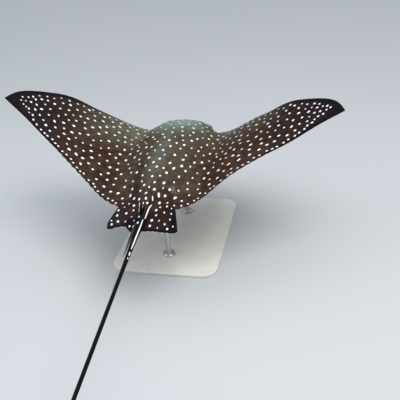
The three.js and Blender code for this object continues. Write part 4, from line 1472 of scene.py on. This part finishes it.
# %% Eyes
EYE_RINGS, EYE_SECTORS = 36, 56
CORNEA_RISE = 0.035
SIGHT = (0.94, 0.1, 0.2)
for side, name in ((1, "right"), (-1, "left")):
    low, high = eye_boxes[name]
    centre, ball = (low + high) / 2, (high.z - low.z) / 2
    outward = Vector((side * SIGHT[0], *SIGHT[1:])).normalized()
    forward = Vector((0, 1, 0)) - outward * outward.y
    forward.normalize()
    upward = outward.cross(forward) * side
    polar = np.linspace(0.02, math.pi - 0.02, EYE_RINGS)[:, None]
    turn = np.linspace(0, 2 * math.pi, EYE_SECTORS, endpoint=False)
    rise = 1 - CORNEA_RISE / 2 + CORNEA_RISE * step_up(0.85, 0.35, polar)
    gaze = np.stack([
        np.sin(polar) * np.cos(turn),
        np.sin(polar) * np.sin(turn),
        np.broadcast_to(np.cos(polar), (EYE_RINGS, EYE_SECTORS)),
    ], -1)
    local = gaze * (rise * ball)[..., None]
    frame_axes = np.array([forward, upward, outward])
    points = np.array(centre) + local.reshape(-1, 3) @ frame_axes
    faces = ring_faces(EYE_RINGS, EYE_SECTORS)
    if side < 0:
        faces = [f[::-1] for f in faces]
    gaze = gaze.reshape(-1, 3)
    add_piece(f"ray_eye_{name}", points, faces, eye_finish, "eye", [f"eye_{name}"], gaze=gaze)
print("eyes of", round(2000 * ball, 1), "mm")

# %% [markdown]
# The sting is a flat spine of hard dentine just behind the dorsal fin, with a groove down its
# back and barbs along both edges that point toward the body. A chain of flat rings gives the
# blade; within each barb's length the width falls from a point to the plain edge.

# %% Sting
STING_FRONT, STING_LENGTH, STING_WIDTH, STING_THICKNESS = -0.645, 0.172, 0.009, 0.005
STING_OUT, STING_UP = (-0.0092, -0.008), (0.005, 0.003)
BARBS, RINGS_PER_BARB, BLADE_SIDES = 30, 7, 16
BARB_OUT, BARB_FORWARD = 0.0013, 0.0011


def sting_look(start):
    """Dark dentine with a grain that runs along the blade."""
    rest = start.node("ShaderNodeTexCoord", None, None, "Object")
    grain = rest.scaled((900, 60, 900)).noise(1, 3, 0.6)
    colour = grain.step(0.3, 0.75).blend(paint(20, 15, 17), paint(54, 45, 41))
    return {"Base Color": colour, "Roughness": 0.42 + 0.2 * grain, "Normal": bump(grain, 0.0002)}


blade = np.linspace(0, 1, BARBS * RINGS_PER_BARB)[:, None]
turn = np.linspace(0, 2 * math.pi, BLADE_SIDES, endpoint=False)
within_barb = (blade * BARBS) % 1
barb = (1 - within_barb) ** 2 * step_up(0.12, 0.22, blade) * step_up(1, 0.9, blade)
half_width = (STING_WIDTH / 2 - 0.0006) * (1 - blade**3) + 0.0003
side_way = np.abs(np.cos(turn)) ** 6
width = half_width + BARB_OUT * barb * side_way
groove = 1 - 0.45 * bump_at(np.cos(turn), 0.3) * (np.sin(turn) > 0)
thickness = STING_THICKNESS / 2 * (1 - 0.72 * blade) * groove
beyond = TAIL_ROOT - STING_FRONT + blade * STING_LENGTH / DISC
axis_x = (math.sin(TAIL_SWAY) * beyond + STING_OUT[0] + (STING_OUT[1] - STING_OUT[0]) * blade) * DISC
axis_z = (TAIL_AXIS_HEIGHT - math.sin(TAIL_DROOP) * beyond + STING_UP[0]) * DISC
axis_z += (STING_UP[1] - STING_UP[0]) * blade * DISC
sting_points = np.stack([
    axis_x + width * np.cos(turn),
    (TAIL_ROOT - beyond) * DISC + BARB_FORWARD * barb * side_way,
    axis_z + thickness * np.sin(turn),
], -1).reshape(-1, 3) + ORIGIN
sting_faces = ring_faces(len(blade), BLADE_SIDES)
sting_finish = finish("spine", sting_look)
add_piece("ray_sting", sting_points, sting_faces, sting_finish, "spine", ["sting"])
print(f"sting {STING_LENGTH * 1000:.0f} mm with {BARBS} barbs on each side")

# %% [markdown]
# The stand is a powder-coated plate with rounded corners and two brushed steel rods that pass
# into the belly. The coat has a faint orange peel, and the steel a fine grain round each rod,
# which a noise stretched out sideways gives.


# %% Finishes of the stand
def plate_look(start):
    """Off-white powder coat."""
    place = start.node("ShaderNodeTexCoord", None, None, "Object")
    peel = place.noise(1400, 2)
    wear = place.noise(14, 3)
    colour = wear.step(0.3, 0.8).blend(paint(228, 226, 220), paint(216, 214, 207))
    return {"Base Color": colour, "Roughness": 0.4 + 0.12 * wear, "Normal": bump(peel, 0.00015)}


def steel_look(start):
    """Steel brushed round its axis."""
    place = start.node("ShaderNodeTexCoord", None, None, "Object")
    brushed = place.scaled((3, 3, 2600)).noise(1, 2)
    smear = place.noise(30, 2)
    colour = brushed.blend(paint(186, 188, 190), paint(214, 215, 216))
    rough = 0.2 + 0.16 * brushed + 0.08 * smear
    return {"Base Color": colour, "Roughness": rough, "Normal": bump(brushed, 0.00004)}


plate_finish = finish("stand_plate", plate_look)
steel_finish = finish("stand_steel", steel_look, Metallic=1.0)

# %% [markdown]
# The plate is one rounded outline lifted through a rounded edge, below and above. A cube with a
# bevel would do for the edge, but the corners need a far larger radius than the edge does.

# %% Plate
PLATE_CORNER, PLATE_EDGE, CORNER_STEPS, EDGE_STEPS = 0.06, 0.003, 16, 5
plate_low, plate_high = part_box("stand_base")
half_x, half_y, plate_top = plate_high.x, plate_high.y, plate_high.z


def plate_outline(inset):
    """Rounded rectangle, pulled in by the inset."""
    quarter = np.linspace(0, math.pi / 2, CORNER_STEPS)
    arcs = []
    for i, (sx, sy) in enumerate(((1, 1), (-1, 1), (-1, -1), (1, -1))):
        turned = quarter + i * math.pi / 2
        reach = PLATE_CORNER - inset
        arcs.append(np.stack([
            sx * (half_x - PLATE_CORNER) + reach * np.cos(turned),
            sy * (half_y - PLATE_CORNER) + reach * np.sin(turned),
        ], -1))
    return np.vstack(arcs)


edge_turn = np.linspace(0, math.pi / 2, EDGE_STEPS)
edge_start = [PLATE_EDGE * (1 - math.sin(t)) for t in edge_turn]
edge_end = [PLATE_EDGE * (1 - math.cos(t)) for t in edge_turn]
rings = [(inset, plate_low.z + lift) for inset, lift in zip(edge_start, edge_end)]
rings += [(inset, plate_top - lift) for inset, lift in zip(edge_end, edge_start)]
rings += [(0.004, plate_top), (0.02, plate_top), (0.056, plate_top)]
plate_points = np.vstack([
    np.column_stack([plate_outline(inset), np.full(4 * CORNER_STEPS, height)])
    for inset, height in rings
])
plate_faces = ring_faces(len(rings), 4 * CORNER_STEPS)
add_piece("stand_base_plate", plate_points, plate_faces, plate_finish, "stand_plate", ["stand_base"])
print(f"plate {2 * half_x:.3f} by {2 * half_y:.3f} m, {plate_top * 1000:.0f} mm thick")

# %% [markdown]
# Each rod is turned as if on a lathe, together with its flange, a small fillet and the stop
# collar below the belly, and four screws hold the flange. A profile swung round an axis is how
# such a rod is made, so it needs no modifier.


# %% Lathe
def turned(profile, sides, middle):
    """Points of a lathe form: (radius, height) pairs swung round a vertical axis."""
    swing = np.linspace(0, 2 * math.pi, sides, endpoint=False)
    r, z = np.array(profile).T[:, :, None]
    rings = [r * np.cos(swing), r * np.sin(swing), np.broadcast_to(z, (len(profile), sides))]
    return np.stack(rings, -1).reshape(-1, 3) + np.array(middle)


# %% Profile of a rod
ROD, COLLAR, FILLET, IN_BODY = 0.011, 0.015, 0.0022, 0.024
FLANGE, FLANGE_TOP = 0.026, 0.01
STOP_BELOW_BELLY = 0.008


def rod_profile(length):
    """(radius, height) pairs from the foot of the flange to the rod's top."""
    foot = [(0.0005, 0), (FLANGE - 0.0006, 0), (FLANGE, 0.0006), (FLANGE, 0.0052)]
    bevel = [(FLANGE - 0.0004, 0.0062), (0.0215, 0.0094), (0.0205, 0.0099), (0.0198, FLANGE_TOP)]
    fillet = [(ROD + FILLET, FLANGE_TOP)]
    for t in edge_turn[1:]:
        fillet.append((ROD + FILLET * (1 - math.sin(t)), 0.0122 - FILLET * math.cos(t)))
    stop = length - IN_BODY - STOP_BELOW_BELLY
    shaft = [(ROD, z) for z in np.linspace(0.02, stop - 0.0004, 8)]
    collar = [(COLLAR - 0.0005, stop), (COLLAR, stop + 0.0005), (COLLAR, stop + 0.0045)]
    collar += [(COLLAR - 0.0005, stop + 0.005), (ROD, stop + 0.0052)]
    top = [(ROD, length - 0.002), (ROD - 0.002, length), (0.0005, length)]
    return foot + bevel + fillet + shaft + collar + top


print(len(rod_profile(0.2)), "points in a profile")

# %% Rods with their screws
ROD_SIDES, SCREW_SIDES = 72, 24
FLANGE_SCREWS, SCREW_RING = 4, 0.0162
SCREW = [
    (0.0029, 0), (0.0028, 0.0006), (0.0023, 0.0011), (0.0014, 0.0012), (0.0013, 0.0003),
    (0.0001, 0.0002),
]
for name in ("stand_rod_front", "stand_rod_rear"):
    low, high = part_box(name)
    x_mid, y_mid = (low.x + high.x) / 2, (low.y + high.y) / 2
    rod_length = high.z - low.z
    profile = rod_profile(rod_length)
    rod_points = turned(profile, ROD_SIDES, (x_mid, y_mid, low.z))
    rod_faces = ring_faces(len(profile), ROD_SIDES)
    for i in range(FLANGE_SCREWS):
        swing = math.pi * (0.25 + 0.5 * i)
        screw_x, screw_y = x_mid + SCREW_RING * math.cos(swing), y_mid + SCREW_RING * math.sin(swing)
        shift = len(rod_points)
        screw_points = turned(SCREW, SCREW_SIDES, (screw_x, screw_y, low.z + FLANGE_TOP))
        rod_points = np.vstack([rod_points, screw_points])
        rod_faces += [[k + shift for k in f] for f in ring_faces(len(SCREW), SCREW_SIDES)]
    add_piece(name + "_turned", rod_points, rod_faces, steel_finish, "stand_steel", [name])
    print(f"{name}: {rod_length * 1000:.0f} mm, {len(rod_faces)} faces")

# %% [markdown]
# The room is a pale floor that runs far behind the stand. A plain plane is enough, because the
# floor is only there to take the shadow.

# %% Floor
FLOOR_HALF = 60
floor_mesh = mesh_of(
    "floor",
    [(sx * FLOOR_HALF, sy * FLOOR_HALF, 0) for sx, sy in ((-1, -1), (1, -1), (1, 1), (-1, 1))],
    [(0, 1, 2, 3)],
)


def floor_look(start):
    """Pale paint, very slightly clouded."""
    place = start.node("ShaderNodeTexCoord", None, None, "Object")
    cloud = place.noise(0.8, 3)
    colour = cloud.blend(paint(184, 188, 191), paint(190, 193, 195))
    return {"Base Color": colour, "Roughness": 0.75 + 0.1 * cloud}


floor_mesh.materials.append(finish("floor", floor_look))
floor = bpy.data.objects.new("floor", floor_mesh)
bpy.context.scene.collection.objects.link(floor)
floor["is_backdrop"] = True
print("floor", 2 * FLOOR_HALF, "m wide")

# %% [markdown]
# The sky is a studio's: bright overhead, like a large soft box, dim at middle height, so that
# the skin seen at a low angle doesn't turn grey with reflections, and a little paler toward the
# horizon. Image lighting would do the same with less control.

# %% Sky
BAND_DIM, BAND_PALE, OVERHEAD = (0.17, 0.187, 0.21, 1), (0.46, 0.485, 0.52, 1), (1.5, 1.56, 1.63, 1)
world = bpy.data.worlds.new("sky")
bpy.context.scene.world = world
world.use_nodes = True
bpy.context.scene.view_settings.view_transform = "Standard"
height = Wire(world.node_tree).node("ShaderNodeTexCoord", None, None, "Generated").part(2)
band = height.step(0.3, 0.08).blend(BAND_DIM, BAND_PALE)
sky = height.step(0.48, 0.98).blend(band, OVERHEAD)
world.node_tree.links.new(sky.socket, world.node_tree.nodes["Background"].inputs["Color"])
print(f"sky of {len(world.node_tree.nodes)} nodes")

# %% [markdown]
# One broad lamp high on the right and behind the disc does the modelling, as daylight from the
# surface would, and a weaker, bluer one on the left keeps the shadow side readable.

# %% Lamps
LAMP_AIM = (0, -0.3, 0.05)


def lamp(name, place, size, power, colour):
    """A square area lamp that faces the middle of the ray."""
    light = bpy.data.lights.new(name, "AREA")
    light.shape, light.size, light.energy, light.color = "SQUARE", size, power, colour
    holder = bpy.data.objects.new(name, light)
    bpy.context.scene.collection.objects.link(holder)
    holder.location = place
    aim = Vector(to_world(LAMP_AIM)) - Vector(place)
    holder.rotation_mode = "QUATERNION"
    holder.rotation_quaternion = aim.to_track_quat("-Z", "Y")


lamp("key_lamp", (1.3, -1.3, 3.6), 2.2, 95, (1, 0.98, 0.95))
lamp("fill_lamp", (-2.6, -1.2, 2.4), 2.5, 20, (0.9, 0.95, 1))
print("two lamps")

# %% [markdown]
# Last, the size of everything that belongs to the model is written next to the size of the
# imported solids, so that the two can be compared.

# %% Sizes and the end
size = {"cad": [list(corner) for corner in cad_box], "visual": [list(corner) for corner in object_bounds()]}
print(size)
